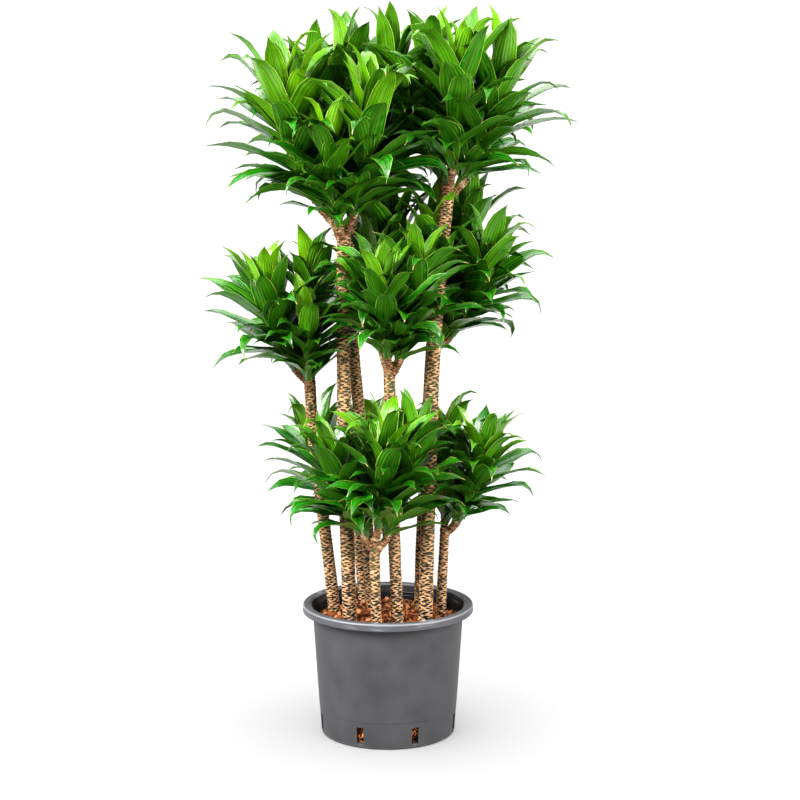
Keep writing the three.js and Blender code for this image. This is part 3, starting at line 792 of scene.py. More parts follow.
def cane_surface(settings, cane, number):
    """A cane as a tube along its path.

    The radius tapers evenly and carries the net of cork, raised where the net's value is above 0.
    Near the cut top the net gives way to rough rings. The top is cut off flat, with rounded edges.
    """
    path = cane_path(cane)
    length = evenly(path, [0.0])[2]
    girth = 2 * math.pi * cane.radius
    rows, columns = round(length / BARK_GRAIN), round(girth / BARK_GRAIN)
    shares = np.linspace(0, 1, rows)
    centres, ways, _ = evenly(path, shares)
    run = (shares * length)[:, None]
    arc = (np.arange(columns) / columns * girth)[None, :]
    skin = turned(cane.radius, arc / cane.radius, run + 200.0 * number)
    ragged = mottle(skin, 5.0, 3)
    arc_bent = arc + 1.0 * mottle(skin, 7.0, 1)
    run_bent = run + 0.9 * mottle(skin, 6.0, 2)
    above = run - (SOIL_EDGE_Z - PLANTING_Z)
    to_top = length - run
    low = (1 - ease(30, 210, above + 20 * ragged)) + 0 * arc  # near the soil the gaps are wide
    scar = 1 - ease(8, 30, to_top + 5 * ragged)
    spacing = (settings.gap_width / MM, settings.gap_height / MM)
    opening = blend(0.68, 0.78, low) * (1 + 0.2 * mottle(skin, 24.0, 9))
    cork = cork_net(arc_bent, run_bent, girth, spacing, opening, number)
    strand = ease(-0.1, 0.08, cork)
    relief = settings.relief / MM * (strand - 0.6)
    rings = 0.7 * np.sin(2 * math.pi * (run + 2 * ragged) / 5.5) + 0.9 * mottle(skin, 2.8, 4)
    relief = blend(relief, rings, scar)
    tone = blend(0.5 + 0.5 * mottle(skin, 14.0, 6), 0.5 + 0.5 * rings, scar)
    share = np.clip(above / (length - (SOIL_EDGE_Z - PLANTING_Z)), 0, 1)
    radius = cane.radius * blend(1, CANE_TAPER, share)
    radius = radius * (1 + 0.02 * mottle(skin / 4, 12.0, 5)) + relief
    radius = radius - 1.6 * (1 - ease(0, 2.5, to_top))
    top, top_way = centres[-1], ways[-1]
    inner = [
        tube_points((top + lift * top_way)[None], top_way[None], radius[-1:] * inward)
        for inward, lift in CUT_RINGS
    ]

    def capped(value, end):
        return np.vstack([value, np.full((len(inner), columns), end)])

    return tube(
        np.concatenate([tube_points(centres, ways, radius)] + inner),
        np.stack([centres[0], top - 0.2 * top_way]),
        cork=capped(cork, 0.0),
        scar=capped(scar, 0.0),
        low=capped(low, 0.0),
        cut=capped(0 * cork, 0.3),
        tone=capped(tone, 0.5),
    )


def stub_surface(path, number):
    """The bare woody foot of a shoot: a tapering tube with rough rings, the scars of lost leaves.

    The value "cut" is above 0 in a few patches, where the skin is torn off the pale wood.
    """
    length = evenly(path, [0.0])[2]
    rows = round(length * BARE_SHARE / WOOD_GRAIN)
    shares = np.linspace(0, WOOD_END, rows)
    centres, ways, _ = evenly(path, shares)
    run = (shares * length)[:, None]
    skin = turned(WOOD_RADIUS, circle(WOOD_COLUMNS)[None, :], run + 90.0 * number)
    ragged = mottle(skin, 4.5, 7)
    wave = np.sin(2 * math.pi * (run + 2.2 * ragged) / 5.0)
    relief = 0.8 * wave + 1.3 * mottle(skin, 3.0, 8) + 1.0 * ragged
    taper = shares[:, None] / BARE_SHARE
    radius = WOOD_RADIUS * blend(1.0, WOOD_TAPER, taper) + relief
    whole = np.ones((rows, WOOD_COLUMNS))
    return tube(
        tube_points(centres, ways, radius),
        centres[[0, -1]],
        cork=0.1 * ragged,
        scar=whole,
        low=0 * whole,
        cut=0.7 * ease(0.35, 0.55, mottle(skin, 9.0, 9)),
        tone=0.5 + 0.5 * wave,
    )


# ---- The pot and the soil ---------------------------------------------------------------------


def rounded(profile):
    """A profile with its corners rounded: before(1−s)² + 2 corner s(1−s) + after s² at each.

    One more point, 0.15 mm further out on each side, keeps the straight parts flat in the shading.
    """
    corner = profile[:, :2]
    ends = np.vstack([[0.0, corner[0, 1]], corner, [0.0, corner[-1, 1]]])
    back = unit(ends[:-2] - corner) * profile[:, 2:]
    on = unit(ends[2:] - corner) * profile[:, 2:]
    s = np.linspace(0, 1, CORNER_ROWS - 2)[None, :, None]
    before, after = (corner + back)[:, None], (corner + on)[:, None]
    arcs = before * (1 - s) ** 2 + 2 * corner[:, None] * s * (1 - s) + after * s**2
    outer = [end + 0.15 * unit(end - corner[:, None]) for end in (before, after)]
    return np.concatenate([outer[0], arcs, outer[1]], axis=1).reshape(-1, 2)


def wall_radius(z, low, high):
    """The radius of a straight wall at a height, between two corners of the profile."""
    return low[0] + (high[0] - low[0]) * (z - low[1]) / (high[1] - low[1])


def pot_surface(settings):
    """The pot: its profile turned about the axis, with upright slots cut through the wall.

    The angles of the columns take in every slot's edges and the profile its rows, so a slot is
    left open by leaving out its faces, outside and inside, and bridging the two along its edge.
    """
    profile = rounded(POT_PROFILE)
    heights = np.linspace(SLOT_LOW, SLOT_HIGH, SLOT_ROWS)
    outside = np.stack([wall_radius(heights, *OUTER_WALL), heights], axis=1)
    heights = np.linspace(SLOT_HIGH, SLOT_LOW + SLOT_SILL, SLOT_ROWS)
    inside = np.stack([wall_radius(heights, *INNER_WALL), heights], axis=1)
    first_out = (BELOW_SLOTS_OUT + 1) * CORNER_ROWS
    floor_row = (ABOVE_SLOTS_IN + 1) * CORNER_ROWS
    first_in = floor_row + SLOT_ROWS
    foot, wall, floor = np.split(profile, [first_out, floor_row])
    profile = np.vstack([foot, outside, wall, inside, floor])

    half = math.degrees(math.asin(SLOT_WIDTH / 2 / FOOT_RADIUS))
    slots = (SLOT_ANGLES - 90) % 360
    base = np.arange(settings.columns) * 360 / settings.columns
    apart = np.abs((base[:, None] - slots + 180) % 360 - 180)
    base = base[(apart > half + SLOT_CLEAR).all(axis=1)]
    over_slots = (slots[:, None] + half * SLOT_ACROSS).reshape(-1) % 360
    angles = np.sort(np.concatenate([base, over_slots]))
    rings = turned(profile[:, :1], np.radians(angles), profile[:, 1:])
    rows, columns = rings.shape[:2]
    quads, triangles = tube_faces(rows, columns)
    row, column = np.divmod(np.arange(len(quads)), columns)
    middle = (angles[column] + np.diff(angles, append=angles[0] + 360)[column] / 2) % 360
    in_slot = (np.abs((middle[:, None] - slots + 180) % 360 - 180) < half).any(axis=1)
    at_slots = np.isin(row - first_out, range(SLOT_ROWS - 1))
    at_slots |= np.isin(row - first_in, range(SLOT_ROWS - 1))
    kept = quads[~(in_slot & at_slots)]

    # Each slot's edge is four strips between the outside o and the inside i: its two sides, then
    # its bottom and its top. The second of each pair is the other way round.
    left = np.searchsorted(angles, (slots - half) % 360 - 1e-6)
    across = left[None, :] + np.arange(len(SLOT_ACROSS))[:, None]
    up = np.arange(SLOT_ROWS)
    out_rows, in_rows = first_out + up, first_in + up[::-1]

    def point(row, column):
        return row * columns + column % columns

    edges = []
    for side, way in ((across[0], 1), (across[-1], -1)):
        o, i = (point(r[:, None], side) for r in (out_rows, in_rows))
        edges.append(np.stack([o[:-1], i[:-1], i[1:], o[1:]], axis=-1).reshape(-1, 4)[:, ::way])
    for end, way in ((0, 1), (-1, -1)):
        o, i = (point(r[end], across) for r in (out_rows, in_rows))
        edges.append(np.stack([o[:-1], o[1:], i[1:], i[:-1]], axis=-1).reshape(-1, 4)[:, ::way])
    poles = np.array([[0, 0, profile[0, 1]], [0, 0, profile[-1, 1]]], float)
    points = np.vstack([rings.reshape(-1, 3), poles])
    quads = np.vstack([kept] + edges)
    used = np.unique(np.concatenate([quads.reshape(-1), triangles.reshape(-1)]))
    number = np.zeros(len(points), int)
    number[used] = np.arange(len(used))
    # The inside of the wall and the inner floor, which the material paints nearly black with
    # painted shade.
    inner = np.repeat(np.arange(rows) >= FIRST_INSIDE * CORNER_ROWS + SLOT_ROWS, columns)
    inner = np.concatenate([inner, [False, True]]).astype(float)
    return Surface(points[used], number[quads], number[triangles], {"inner": inner[used]})


def mound(x, y):
    """The height of the soil: a low paraboloid, with hummocks of 30 mm and crumbs of 8 mm."""
    flat = np.stack([x, y, np.zeros_like(x)], axis=-1)
    crown = SOIL_MOUND * (1 - (x**2 + y**2) / SOIL_RADIUS**2)
    return SOIL_EDGE_Z + crown + 4.0 * mottle(flat, 30.0, 11) + 2.5 * mottle(flat, 8.0, 12)


def soil_surface():
    """The body of the soil: its mound, and a side that keeps clear of the pot's wall."""
    shoulder = (wall_radius(SOIL_SHOULDER, *SOIL_WALL), SOIL_SHOULDER)
    side = np.array([*SOIL_SIDE, shoulder])
    top = np.linspace(SOIL_RADIUS - 0.5, 2.5, SOIL_RINGS)
    radii = np.concatenate([side[:, 0], top])[:, None]
    rings = turned(radii, circle(SOIL_COLUMNS), 0.0)
    rings[: len(side), :, 2] = side[:, 1:]
    over = rings[len(side) :]
    over[..., 2] = mound(over[..., 0], over[..., 1])
    poles = np.array([[0, 0, side[0, 1]], [0, 0, rings[-1, :, 2].mean()]])
    # The whole body gets one low tone: painted shade between the granules.
    return tube(rings, poles, tone=np.full(rings.shape[:2], BODY_SHADE_TONE))


def granules_surface(settings):
    """Loose granules on the mound and behind the slots.

    On the mound they lie on a sunflower spiral: granule i at the root of i/n of the radius, turned
    on by the golden angle. Each is a ball whose radius swells and shrinks with smooth noise,
    stretched along its three axes and turned by its own draws.
    """
    count = settings.granules
    i = np.arange(count)
    reach = (SOIL_RADIUS - 3) * np.sqrt((i + 0.5) / count)
    turn = np.radians(GOLDEN_TURN * i) + 0.5 * draw(i, 21)
    on_top = turned(reach, turn, 0.0)
    on_top[:, 2] = mound(on_top[:, 0], on_top[:, 1]) + 3.2 * draw(i, 22)
    clear = np.ones(count, bool)
    for cane in CANES:
        from_cane = on_top[:, :2] - np.array(cane.route[0][:2])
        clear &= np.linalg.norm(from_cane, axis=1) > cane.radius + 1.5

    slots = np.radians(SLOT_ANGLES - 90)
    j = np.arange(SLOT_GRANULES * len(slots))
    spot = slots[j % len(slots)] + np.radians(7.5) * (draw(j, 23) - 0.5)
    filled = np.where(j % len(slots) == LOW_SLOT, 0.45, 1.0)
    z = SLOT_LOW + 3 + (SLOT_HIGH - SLOT_LOW) * filled * draw(j, 24)
    behind = turned(wall_radius(z, *INNER_WALL) - 2.5 - 4 * draw(j, 25), spot, z)
    places = np.vstack([on_top[clear], behind])

    n = np.arange(len(places))
    loose = n < clear.sum()
    size = settings.granule_size / MM / 2 * blend(0.55, 1.45, draw(n, 26) ** 1.6)
    size = size * np.where(loose, 1.0, 0.62)
    rows, columns = GRANULE_GRID
    polar = np.linspace(0, math.pi, rows + 2)[1:-1, None]
    ball = turned(np.sin(polar), circle(columns)[None, :], -np.cos(polar))
    ball = np.vstack([ball.reshape(-1, 3), -UP, UP])
    rough = 1 + 0.38 * mottle(ball[None] * 1.1 + 7.0 * n[:, None, None], 1.0, 27)
    stretch = (np.ones(len(n)), blend(0.6, 1, draw(n, 28)), blend(0.45, 0.8, draw(n, 29)))
    size = size[:, None] * np.stack(stretch, axis=-1)
    lumps = ball[None] * rough[..., None] * size[:, None]
    first = np.stack([draw(n, 31), draw(n, 32), 0.7 * draw(n, 33)], axis=-1) - [0.5, 0.5, 0.35]
    first = unit(first)
    second = np.stack([draw(n, 34), draw(n, 35), draw(n, 36)], axis=-1) - 0.5
    second = unit(np.cross(first, unit(second)))
    basis = np.stack([first, second, np.cross(first, second)], axis=1)
    points = places[:, None] + np.einsum("npk,nkc->npc", lumps, basis)
    quads, triangles = tube_faces(rows, columns)
    stride = rows * columns + 2
    tone = draw(n, 37)
    tone = np.where(loose, tone, blend(0.5, 1.2, tone))  # painted light: behind the slots the granules are paler
    return Surface(
        points.reshape(-1, 3),
        copies(quads, len(n), stride),
        copies(triangles, len(n), stride),
        {"tone": np.repeat(tone, stride)},
    )


# ---- Materials --------------------------------------------------------------------------------


def add(tree, kind, inputs=(), output=None, **settings):
    """Adds a node with its settings and links, and gives the output that others link from.

    The inputs are in the node's own order, or by name. Each is a value or another node's output.
    """
    node = tree.nodes.new("ShaderNode" + kind)
    for key, value in settings.items():
        setattr(node, key, value)
    used = [socket for socket in node.inputs if socket.enabled]
    for key, value in inputs.items() if isinstance(inputs, dict) else enumerate(inputs):
        socket = used[key] if isinstance(key, int) else next(s for s in used if s.name == key)
        if isinstance(value, bpy.types.NodeSocket):
            tree.links.new(value, socket)
        else:
            socket.default_value = value
    return node.outputs[output] if output else next(s for s in node.outputs if s.enabled)


def start_material(name):
    """A new material, its node tree and its Principled shader."""
    material = bpy.data.materials.new(name)
    material.use_nodes = True
    return material, material.node_tree, material.node_tree.nodes["Principled BSDF"]


def finish_shader(tree, shader, linked, **plain):
    """Links the sockets of a shader that vary over the surface, and sets those that don't."""
    for key, value in linked.items():
        tree.links.new(value, shader.inputs[key])
    for key, value in plain.items():
        shader.inputs[key.replace("_", " ")].default_value = value


def waxy_leaf(leaves):
    """Leaf with a waxy cuticle: striped green flesh under a skin that gives a broad, soft sheen.

    The pattern follows the map "blade", which runs across a leaf in u and along it in v.
    """
    material, tree, shader = start_material("waxy leaf cuticle")
    blade = add(tree, "UVMap", uv_map="blade")
    u = add(tree, "SeparateXYZ", (blade,), "X")
    over = u.node.outputs["Y"]
    under = add(tree, "Math", (over, 1.5), operation="GREATER_THAN")
    v = add(tree, "Math", (under, -2.0, over), operation="MULTIPLY_ADD")
    age, tone = (
        add(tree, "Attribute", output="Fac", attribute_name=name) for name in ("age", "tone")
    )
    own = add(tree, "Math", (tone, 60.0), operation="MULTIPLY")
    body = add(tree, "TexCoord", output="Object")

    # Ribs, seven across a leaf: a sine of u, which wavers a little along the leaf.
    along = add(tree, "Math", (v, 1.2), operation="MULTIPLY")
    across = add(tree, "Math", (u, 9.0), operation="MULTIPLY")
    vector = add(tree, "CombineXYZ", (across, along, own))
    waver = add(tree, "TexNoise", {"Vector": vector, "Scale": 1.0, "Detail": 1.0})
    phase = add(tree, "Math", (u, 7 * 2 * math.pi), operation="MULTIPLY")
    phase = add(tree, "Math", (waver, 9.0, phase), operation="MULTIPLY_ADD")
    ribs = add(tree, "Math", (phase,), operation="SINE")
    stripes = add(tree, "MapRange", (ribs, -0.6, 0.9), interpolation_type="SMOOTHSTEP")

    # Fine veins, about a millimetre apart on a leaf 40 mm wide.
    across = add(tree, "Math", (u, 44.0), operation="MULTIPLY")
    vector = add(tree, "CombineXYZ", (across, along, own))
    veins = add(tree, "TexNoise", {"Vector": vector, "Scale": 1.0, "Detail": 1.0})
    patches = add(tree, "TexNoise", {"Vector": body, "Scale": 30.0, "Detail": 2.0})

    # Young leaves are yellow-green. With age the green deepens, most of all in the stripes.
    grown = add(tree, "MapRange", (age, 0.05, 0.55))
    # Besides a random share, the tone carries the painted shade of the lower and back heads.
    grown = add(tree, "Math", (tone, 0.8, grown), operation="MULTIPLY_ADD")
    grown = add(tree, "Math", (grown, 0.3), operation="SUBTRACT", use_clamp=True)
    green = add(tree, "Mix", (grown, leaves.young, leaves.grown), data_type="RGBA")
    depth = add(tree, "MapRange", (grown, 0.0, 1.0, 0.3, 0.95))
    depth = add(tree, "Math", (stripes, depth), operation="MULTIPLY")
    green = add(tree, "Mix", (depth, green, leaves.deep), data_type="RGBA")
    pale = add(tree, "MapRange", (veins, 0.5, 0.75, 0.0, 0.3))
    green = add(tree, "Mix", (pale, green, leaves.young), data_type="RGBA")
    shade = add(tree, "MapRange", (patches, 0.3, 0.7, 0.76, 1.16))
    green = add(tree, "VectorMath", (green, shade), operation="MULTIPLY")

    # The underside and the foot that clasps the stem are olive and duller, the margin is a thin
    # pale line, and the tips of leaves with a high tone dry to tan.
    dull = add(tree, "Math", (grown, 0.45, 0.06), operation="MULTIPLY_ADD")
    dull = add(tree, "Math", (dull, under), operation="MULTIPLY")
    foot = add(tree, "MapRange", (v, 0.0, 0.16, 0.75, 0.0))
    edge = add(tree, "Math", (u, 0.5), operation="SUBTRACT")
    edge = add(tree, "Math", (edge,), operation="ABSOLUTE")
    edge = add(tree, "MapRange", (edge, 0.462, 0.488, 0.0, 0.75))
    tip = add(tree, "Math", (tone, 0.06, v), operation="MULTIPLY_ADD")
    tip = add(tree, "MapRange", (tip, 0.99, 1.05), interpolation_type="SMOOTHSTEP")
    layers = ((dull, leaves.underside), (foot, leaves.underside), (edge, leaves.margin))
    for share, layer in (*layers, (tip, leaves.dry)):
        green = add(tree, "Mix", (share, green, layer), data_type="RGBA")

    rough = add(tree, "MapRange", (patches, 0.3, 0.7, 0.24, 0.38))
    rough = add(tree, "Math", (under, 0.1, rough), operation="MULTIPLY_ADD")
    fine = add(tree, "Bump", {"Strength": 0.3, "Distance": 0.4 * MM, "Height": veins})
    bump = {"Strength": 0.6, "Distance": 0.8 * MM, "Height": ribs, "Normal": fine}
    bump = add(tree, "Bump", bump)
    wax = {"Coat_Weight": 0.85, "Coat_Roughness": 0.22, "Coat_IOR": 1.52}
    linked = {"Base Color": green, "Roughness": rough, "Normal": bump}
    finish_shader(tree, shader, linked, IOR=1.5, Specular_IOR_Level=0.35, **wax)
    return material


def corky_bark(bark):
    """Corky bark: a raised tan net that has torn open over smooth dark green stem.

    The attributes are worked out with the mesh: "cork" is above zero on the strands, "scar" is 1 on
    the papery rings of lost leaves, "low" is 1 near the soil, "cut" is 1 on the sawn top, and
    "tone" is a slow change. "olive" says how green a whole cane is.
    """
    material, tree, shader = start_material("corky bark")
    body = add(tree, "TexCoord", output="Object")
    cork, scar, cut, tone, olive, low = (
        add(tree, "Attribute", output="Fac", attribute_name=name)
        for name in ("cork", "scar", "cut", "tone", "olive", "low")
    )

    # Crumbs of cork, about 1.5 mm, and patches of 7 mm.
    crumbs = add(tree, "TexNoise", {"Vector": body, "Scale": 700.0, "Detail": 3.0})
    patches = add(tree, "TexNoise", {"Vector": body, "Scale": 140.0, "Detail": 2.0})
    torn = add(tree, "Math", (crumbs, 0.16, cork), operation="MULTIPLY_ADD")
    strand = add(tree, "MapRange", (torn, 0.055, 0.115), interpolation_type="SMOOTHSTEP")
    crest = add(tree, "MapRange", (torn, 0.1, 0.36), interpolation_type="SMOOTHSTEP")

    tan = add(tree, "Mix", (crest, bark.torn_edge, bark.cork), data_type="RGBA")
    light = add(tree, "MapRange", (patches, 0.5, 0.72, 0.0, 0.6))
    light = add(tree, "Math", (low, 0.5, light), operation="MULTIPLY_ADD", use_clamp=True)
    tan = add(tree, "Mix", (light, tan, bark.light), data_type="RGBA")

    # Torn fibres, 8 mm long and 2 mm thick, which lie across the cane and show dark between them.
    threads = add(tree, "Mapping", {"Vector": body, "Scale": (125.0, 125.0, 480.0)})
    threads = {"Vector": threads, "Scale": 1.0, "Detail": 2.0, "Distortion": 0.6}
    threads = add(tree, "TexNoise", threads)
    torn_dark = add(tree, "MapRange", (threads, 0.38, 0.54, 0.95, 0.0))
    tan = add(tree, "Mix", (torn_dark, tan, bark.torn_edge), data_type="RGBA")

    # The gaps show the cane's own skin, greener on the thin canes. They are darkened with painted
    # shade, and towards the soil painted nearly black.
    gap = add(tree, "MapRange", (patches, 0.35, 0.7, 0.0, 0.6))
    gap = add(tree, "Mix", (gap, bark.gap, bark.gap_light), data_type="RGBA")
    painted_gap_shade = add(tree, "MapRange", (low, 0.0, 0.8, 1.0, 0.12))
    gap = add(tree, "Mix", (olive, gap, bark.olive), data_type="RGBA")
    gap = add(tree, "VectorMath", (gap, painted_gap_shade), operation="MULTIPLY")
    colour = add(tree, "Mix", (strand, gap, tan), data_type="RGBA")

    # The scars of leaves are brown and papery, with fibres that run round the stem.
    fibres = add(tree, "Mapping", {"Vector": body, "Scale": (150.0, 150.0, 420.0)})
    fibres = {"Vector": fibres, "Scale": 1.0, "Detail": 3.0, "Distortion": 1.2}
    fibres = add(tree, "TexNoise", fibres)
    paper = add(tree, "MapRange", (fibres, 0.4, 0.6))
    paper = add(tree, "Mix", (paper, bark.scar, bark.paper), data_type="RGBA")
    colour = add(tree, "Mix", (scar, colour, paper), data_type="RGBA")
    wood = add(tree, "Mix", (crumbs, bark.light, bark.wood), data_type="RGBA")
    colour = add(tree, "Mix", (cut, colour, wood), data_type="RGBA")
    darkest = add(tree, "MapRange", (scar, 0.0, 1.0, 0.76, 0.4))
    shade = add(tree, "MapRange", (tone, 0.0, 1.0, darkest, 1.08))
    colour = add(tree, "VectorMath", (colour, shade), operation="MULTIPLY")

    rough = add(tree, "MapRange", (strand, 0.0, 1.0, 0.5, 0.85))
    height = add(tree, "Math", (strand, 0.8, crumbs), operation="MULTIPLY_ADD")
    height = add(tree, "Math", (threads, 0.9, height), operation="MULTIPLY_ADD")
    height = add(tree, "Math", (fibres, scar, height), operation="MULTIPLY_ADD")
    bump = add(tree, "Bump", {"Strength": 0.6, "Distance": 0.7 * MM, "Height": height})
    linked = {"Base Color": colour, "Roughness": rough, "Normal": bump}
    finish_shader(tree, shader, linked, IOR=1.45)
    return material


def moulded_polypropylene(pot):
    """Injection moulded polypropylene: dark grey and satin, faintly grained, with pale scuffs."""
    material, tree, shader = start_material("moulded polypropylene")
    body = add(tree, "TexCoord", output="Object")
    cloud = add(tree, "TexNoise", {"Vector": body, "Scale": 18.0, "Detail": 4.0})

    # The mould's grain, at 0.7 mm: coarser than a real one, and it still only shows from close by.
    grain = add(tree, "TexNoise", {"Vector": body, "Scale": 1400.0, "Detail": 1.0})

    # Scuffs: slanting lines some 40 mm long and a millimetre wide, in patches near the rim.
    slant = (0.0, math.radians(24), math.radians(15))
    slant = {"Vector": body, "Rotation": slant, "Scale": (25.0, 25.0, 700.0)}
    slant = add(tree, "Mapping", slant)
    scuff = add(tree, "TexNoise", {"Vector": slant, "Scale": 1.0, "Detail": 2.0})
    where = add(tree, "TexNoise", {"Vector": body, "Scale": 30.0, "Detail": 1.0})
    where = add(tree, "MapRange", (where, 0.38, 0.58))
    scuff = add(tree, "MapRange", (scuff, 0.6, 0.72))
    scuff = add(tree, "Math", (scuff, where), operation="MULTIPLY")
    height = add(tree, "SeparateXYZ", (body,), "Z")
    near_rim = add(tree, "MapRange", (height, 0.225, 0.245))
    scuff = add(tree, "Math", (scuff, near_rim), operation="MULTIPLY")

    # The wall varies a little in tone. Its inside is painted nearly black with painted shade, and
    # is dull.
    shade = add(tree, "MapRange", (cloud, 0.3, 0.7, 0.84, 1.24))
    inner = add(tree, "Attribute", output="Fac", attribute_name="inner")
    painted_inner_shade = add(tree, "MapRange", (inner, 0.0, 1.0, 1.0, 0.08))
    shade = add(tree, "Math", (shade, painted_inner_shade), operation="MULTIPLY")
    colour = add(tree, "VectorMath", (shade, pot.plastic[:3]), operation="MULTIPLY")

    # The rim is painted paler, painted light where it catches the light, and its upper edge and the
    # edge of the foot get thin painted highlights.
    rim = add(tree, "MapRange", (height, 0.243, 0.248, 0.0, 0.08))
    for edge, width in PAINTED_HIGHLIGHT_EDGES:
        painted_edge_highlight = add(tree, "Math", (height, edge * MM), operation="SUBTRACT")
        painted_edge_highlight = add(tree, "Math", (painted_edge_highlight,), operation="ABSOLUTE")
        painted_edge_highlight = add(tree, "MapRange", (painted_edge_highlight, 0.0, width * MM, 0.45, 0.0))
        rim = add(tree, "Math", (rim, painted_edge_highlight), operation="ADD")
    # Both the scuffs and the painted highlights take the scuff colour.
    share = add(tree, "Math", (scuff, 0.65, rim), operation="MULTIPLY_ADD")
    colour = add(tree, "Mix", (share, colour, pot.scuff), data_type="RGBA")
    rough = add(tree, "MapRange", (cloud, 0.3, 0.7, 0.48, 0.6))
    rough = add(tree, "Math", (scuff, 0.15, rough), operation="MULTIPLY_ADD")
    rough = add(tree, "Math", (inner, 0.4, rough), operation="MULTIPLY_ADD")
    bump = add(tree, "Bump", {"Strength": 0.12, "Distance": 0.1 * MM, "Height": grain})
    linked = {"Base Color": colour, "Roughness": rough, "Normal": bump}
    finish_shader(tree, shader, linked, IOR=1.49)
    return material


def potting_mix(pot):
    """Dry potting mix: reddish bark, coir and clay crumbs, each of its own tone, dull, porous."""
    material, tree, shader = start_material("bark and coir potting mix")
    body = add(tree, "TexCoord", output="Object")
    tone = add(tree, "Attribute", output="Fac", attribute_name="tone")
    crumbs = add(tree, "TexNoise", {"Vector": body, "Scale": 500.0, "Detail": 4.0})
    # Low tones go to the dark soil; the soil's body between the granules has a low tone, painted
    # shade.
    dark = add(tree, "MapRange", (tone, 0.0, 0.5, 0.9, 0.0))
    light = add(tree, "MapRange", (tone, 0.6, 1.0, 0.0, 0.7))
    colour = add(tree, "Mix", (dark, pot.soil, pot.soil_dark), data_type="RGBA")
    colour = add(tree, "Mix", (light, colour, pot.soil_light), data_type="RGBA")
    shade = add(tree, "MapRange", (crumbs, 0.3, 0.7, 0.65, 1.3))
    colour = add(tree, "VectorMath", (colour, shade), operation="MULTIPLY")
    bump = add(tree, "Bump", {"Strength": 0.8, "Distance": 1.0 * MM, "Height": crumbs})
    finish_shader(tree, shader, {"Base Color": colour, "Normal": bump}, IOR=1.4, Roughness=0.9)
    return material


def matt_white_paint():
    """Matt white wall paint, for the floor: it scatters the light evenly, with hardly any sheen."""
    material, tree, shader = start_material("matt white paint")
    finish_shader(tree, shader, {}, Base_Color=linear("#f2f2f2"), Roughness=0.9, IOR=1.4)
    return material


# ---- What makes the pieces --------------------------------------------------------------------


class CORNPLANT_OT_pot(bpy.types.Operator):
    """Make the nursery pot"""

    bl_idname = "cornplant.pot"
    bl_label = "Pot"

    def execute(self, context):
        pot = context.scene.cornplant.pot
        make_piece("pot", pot_surface(pot), moulded_polypropylene(pot), 35)
        return {"FINISHED"}


class CORNPLANT_OT_soil(bpy.types.Operator):
    """Make the potting mix with its loose granules"""

    bl_idname = "cornplant.soil"
    bl_label = "Soil"

    def execute(self, context):
        pot = context.scene.cornplant.pot
        surface = joined([soil_surface(), granules_surface(pot)])
        make_piece("soil", surface, potting_mix(pot), 35)
        return {"FINISHED"}


class CORNPLANT_OT_canes(bpy.types.Operator):
    """Make every cane with the woody feet of its shoots"""

    bl_idname = "cornplant.canes"
    bl_label = "Canes"

    def execute(self, context):
        bark = context.scene.cornplant.bark
        material = corky_bark(bark)
        for number, cane in enumerate(CANES):
            stubs = [
                stub_surface(shoot_path(cane, shoot, index), 10 * number + index)
                for index, shoot in enumerate(cane.shoots)
            ]
            surface = joined([cane_surface(bark, cane, number)] + stubs)
            olive = OLIVE.get(cane.name, OLIVE_OTHERS)
            surface.values["olive"] = np.full(len(surface.points), olive)
            make_piece("cane_" + cane.name, surface, material, 50)
        return {"FINISHED"}


class CORNPLANT_OT_heads(bpy.types.Operator):
    """Make every leafy head: its green stem and its leaves"""

    bl_idname = "cornplant.heads"
    bl_label = "Leafy Heads"

    def execute(self, context):
        leaves = context.scene.cornplant.leaves
        material = waxy_leaf(leaves)
        number = 0
        for cane in CANES:
            for index, shoot in enumerate(cane.shoots):
                number += 1
                path = shoot_path(cane, shoot, index)
                k = np.arange(shoot.leaves, dtype=float)
                fillers = k[draw(number, 40 + k) < leaves.fillers] + 0.5
                k = np.concatenate([k, fillers])
                blades = leaves_surface(leaves, number, shoot, path, k)
                surface = joined([stem_surface(path), blades])
                make_piece(f"head_{cane.name}_{shoot.name}", surface, material, 75)
        return {"FINISHED"}


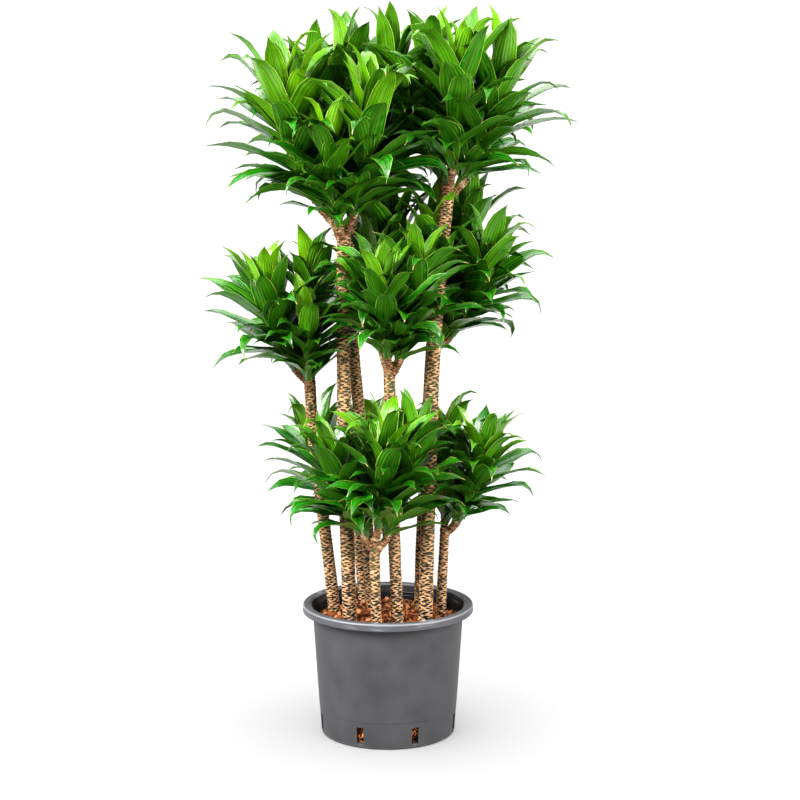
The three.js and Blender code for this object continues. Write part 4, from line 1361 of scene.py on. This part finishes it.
class CORNPLANT_OT_stage(bpy.types.Operator):
    """Make the white floor, the soft lights and the camera"""

    bl_idname = "cornplant.stage"
    bl_label = "Floor, Lights and Camera"

    def execute(self, context):
        scene = context.scene
        mesh = bpy.data.meshes.new("floor")
        corners = ((-1, -1), (1, -1), (1, 1), (-1, 1))
        points = [(x * FLOOR_HALF, y * FLOOR_HALF, FLOOR_Z) for x, y in corners]
        mesh.from_pydata(points, [], [(0, 1, 2, 3)])
        mesh.materials.append(matt_white_paint())
        floor = placed("floor", mesh)

        world = bpy.data.worlds.new("white room")
        world.use_nodes = True
        tree = world.node_tree
        seen = add(tree, "LightPath", output="Is Camera Ray")
        strength = (seen, 1.0 - ROOM_LIGHT, ROOM_LIGHT)
        strength = add(tree, "Math", strength, operation="MULTIPLY_ADD")
        background = tree.nodes["Background"]
        background.inputs["Color"].default_value = (1.0, 1.0, 1.0, 1.0)
        tree.links.new(strength, background.inputs["Strength"])
        scene.world = world

        sky = bpy.data.lights.new("soft sky", "SUN")
        sky.energy = SKY_STRENGTH
        sky.angle = math.radians(SKY_SPREAD)
        placed("soft sky", sky, turn=[math.radians(angle) for angle in SKY_TURN])
        unlit = bpy.data.collections.new("not lit by the lamps")
        unlit.objects.link(floor)
        unlit.collection_objects[0].light_linking.link_state = "EXCLUDE"
        for name, place, size, power in STUDIO_LIGHTS:
            light = bpy.data.lights.new(name, "AREA")
            light.shape = "RECTANGLE"
            light.size, light.size_y = size
            light.energy = power
            aim = Vector(LIT_POINT) - Vector(place)
            lamp = placed(name, light, place, aim.to_track_quat("-Z", "Y").to_euler())
            lamp.light_linking.receiver_collection = unlit

        camera = bpy.data.cameras.new("camera")
        camera.sensor_width = 36.0
        camera.lens = CAMERA_FOCAL_PX / IMAGE_PX * camera.sensor_width
        camera.clip_end = 200.0
        tilt = math.radians(90 - CAMERA_DOWN)
        scene.camera = placed("camera", camera, CAMERA_PLACE, (tilt, 0, 0))
        scene.view_settings.view_transform = "Standard"
        scene.view_settings.look = "Medium High Contrast"
        return {"FINISHED"}


PIECES = (
    CORNPLANT_OT_stage,
    CORNPLANT_OT_pot,
    CORNPLANT_OT_soil,
    CORNPLANT_OT_canes,
    CORNPLANT_OT_heads,
)


class CORNPLANT_PT_sidebar(bpy.types.Panel):
    """The plant's settings, and a button for each group of its pieces"""

    bl_idname = "CORNPLANT_PT_sidebar"
    bl_label = "Potted Corn Plant"
    bl_space_type = "VIEW_3D"
    bl_region_type = "UI"
    bl_category = "Plant"

    def draw(self, context):
        settings = context.scene.cornplant
        for piece in PIECES:
            self.layout.operator(piece.bl_idname)
        for group in (settings.leaves, settings.bark, settings.pot):
            box = self.layout.box()
            for key in group.bl_rna.properties.keys():
                if key not in ("rna_type", "name"):
                    box.prop(group, key)


CLASSES = (
    CORNPLANT_PG_leaves,
    CORNPLANT_PG_bark,
    CORNPLANT_PG_pot,
    CORNPLANT_PG_settings,
    *PIECES,
    CORNPLANT_PT_sidebar,
)


def register():
    for kind in CLASSES:
        bpy.utils.register_class(kind)
    bpy.types.Scene.cornplant = PointerProperty(type=CORNPLANT_PG_settings)


def unregister():
    del bpy.types.Scene.cornplant
    for kind in reversed(CLASSES):
        bpy.utils.unregister_class(kind)


def main():
    register()
    bpy.ops.cornplant.stage()
    bpy.ops.cornplant.pot()
    bpy.ops.cornplant.soil()
    bpy.ops.cornplant.canes()
    bpy.ops.cornplant.heads()


if __name__ == "__main__":
    main()
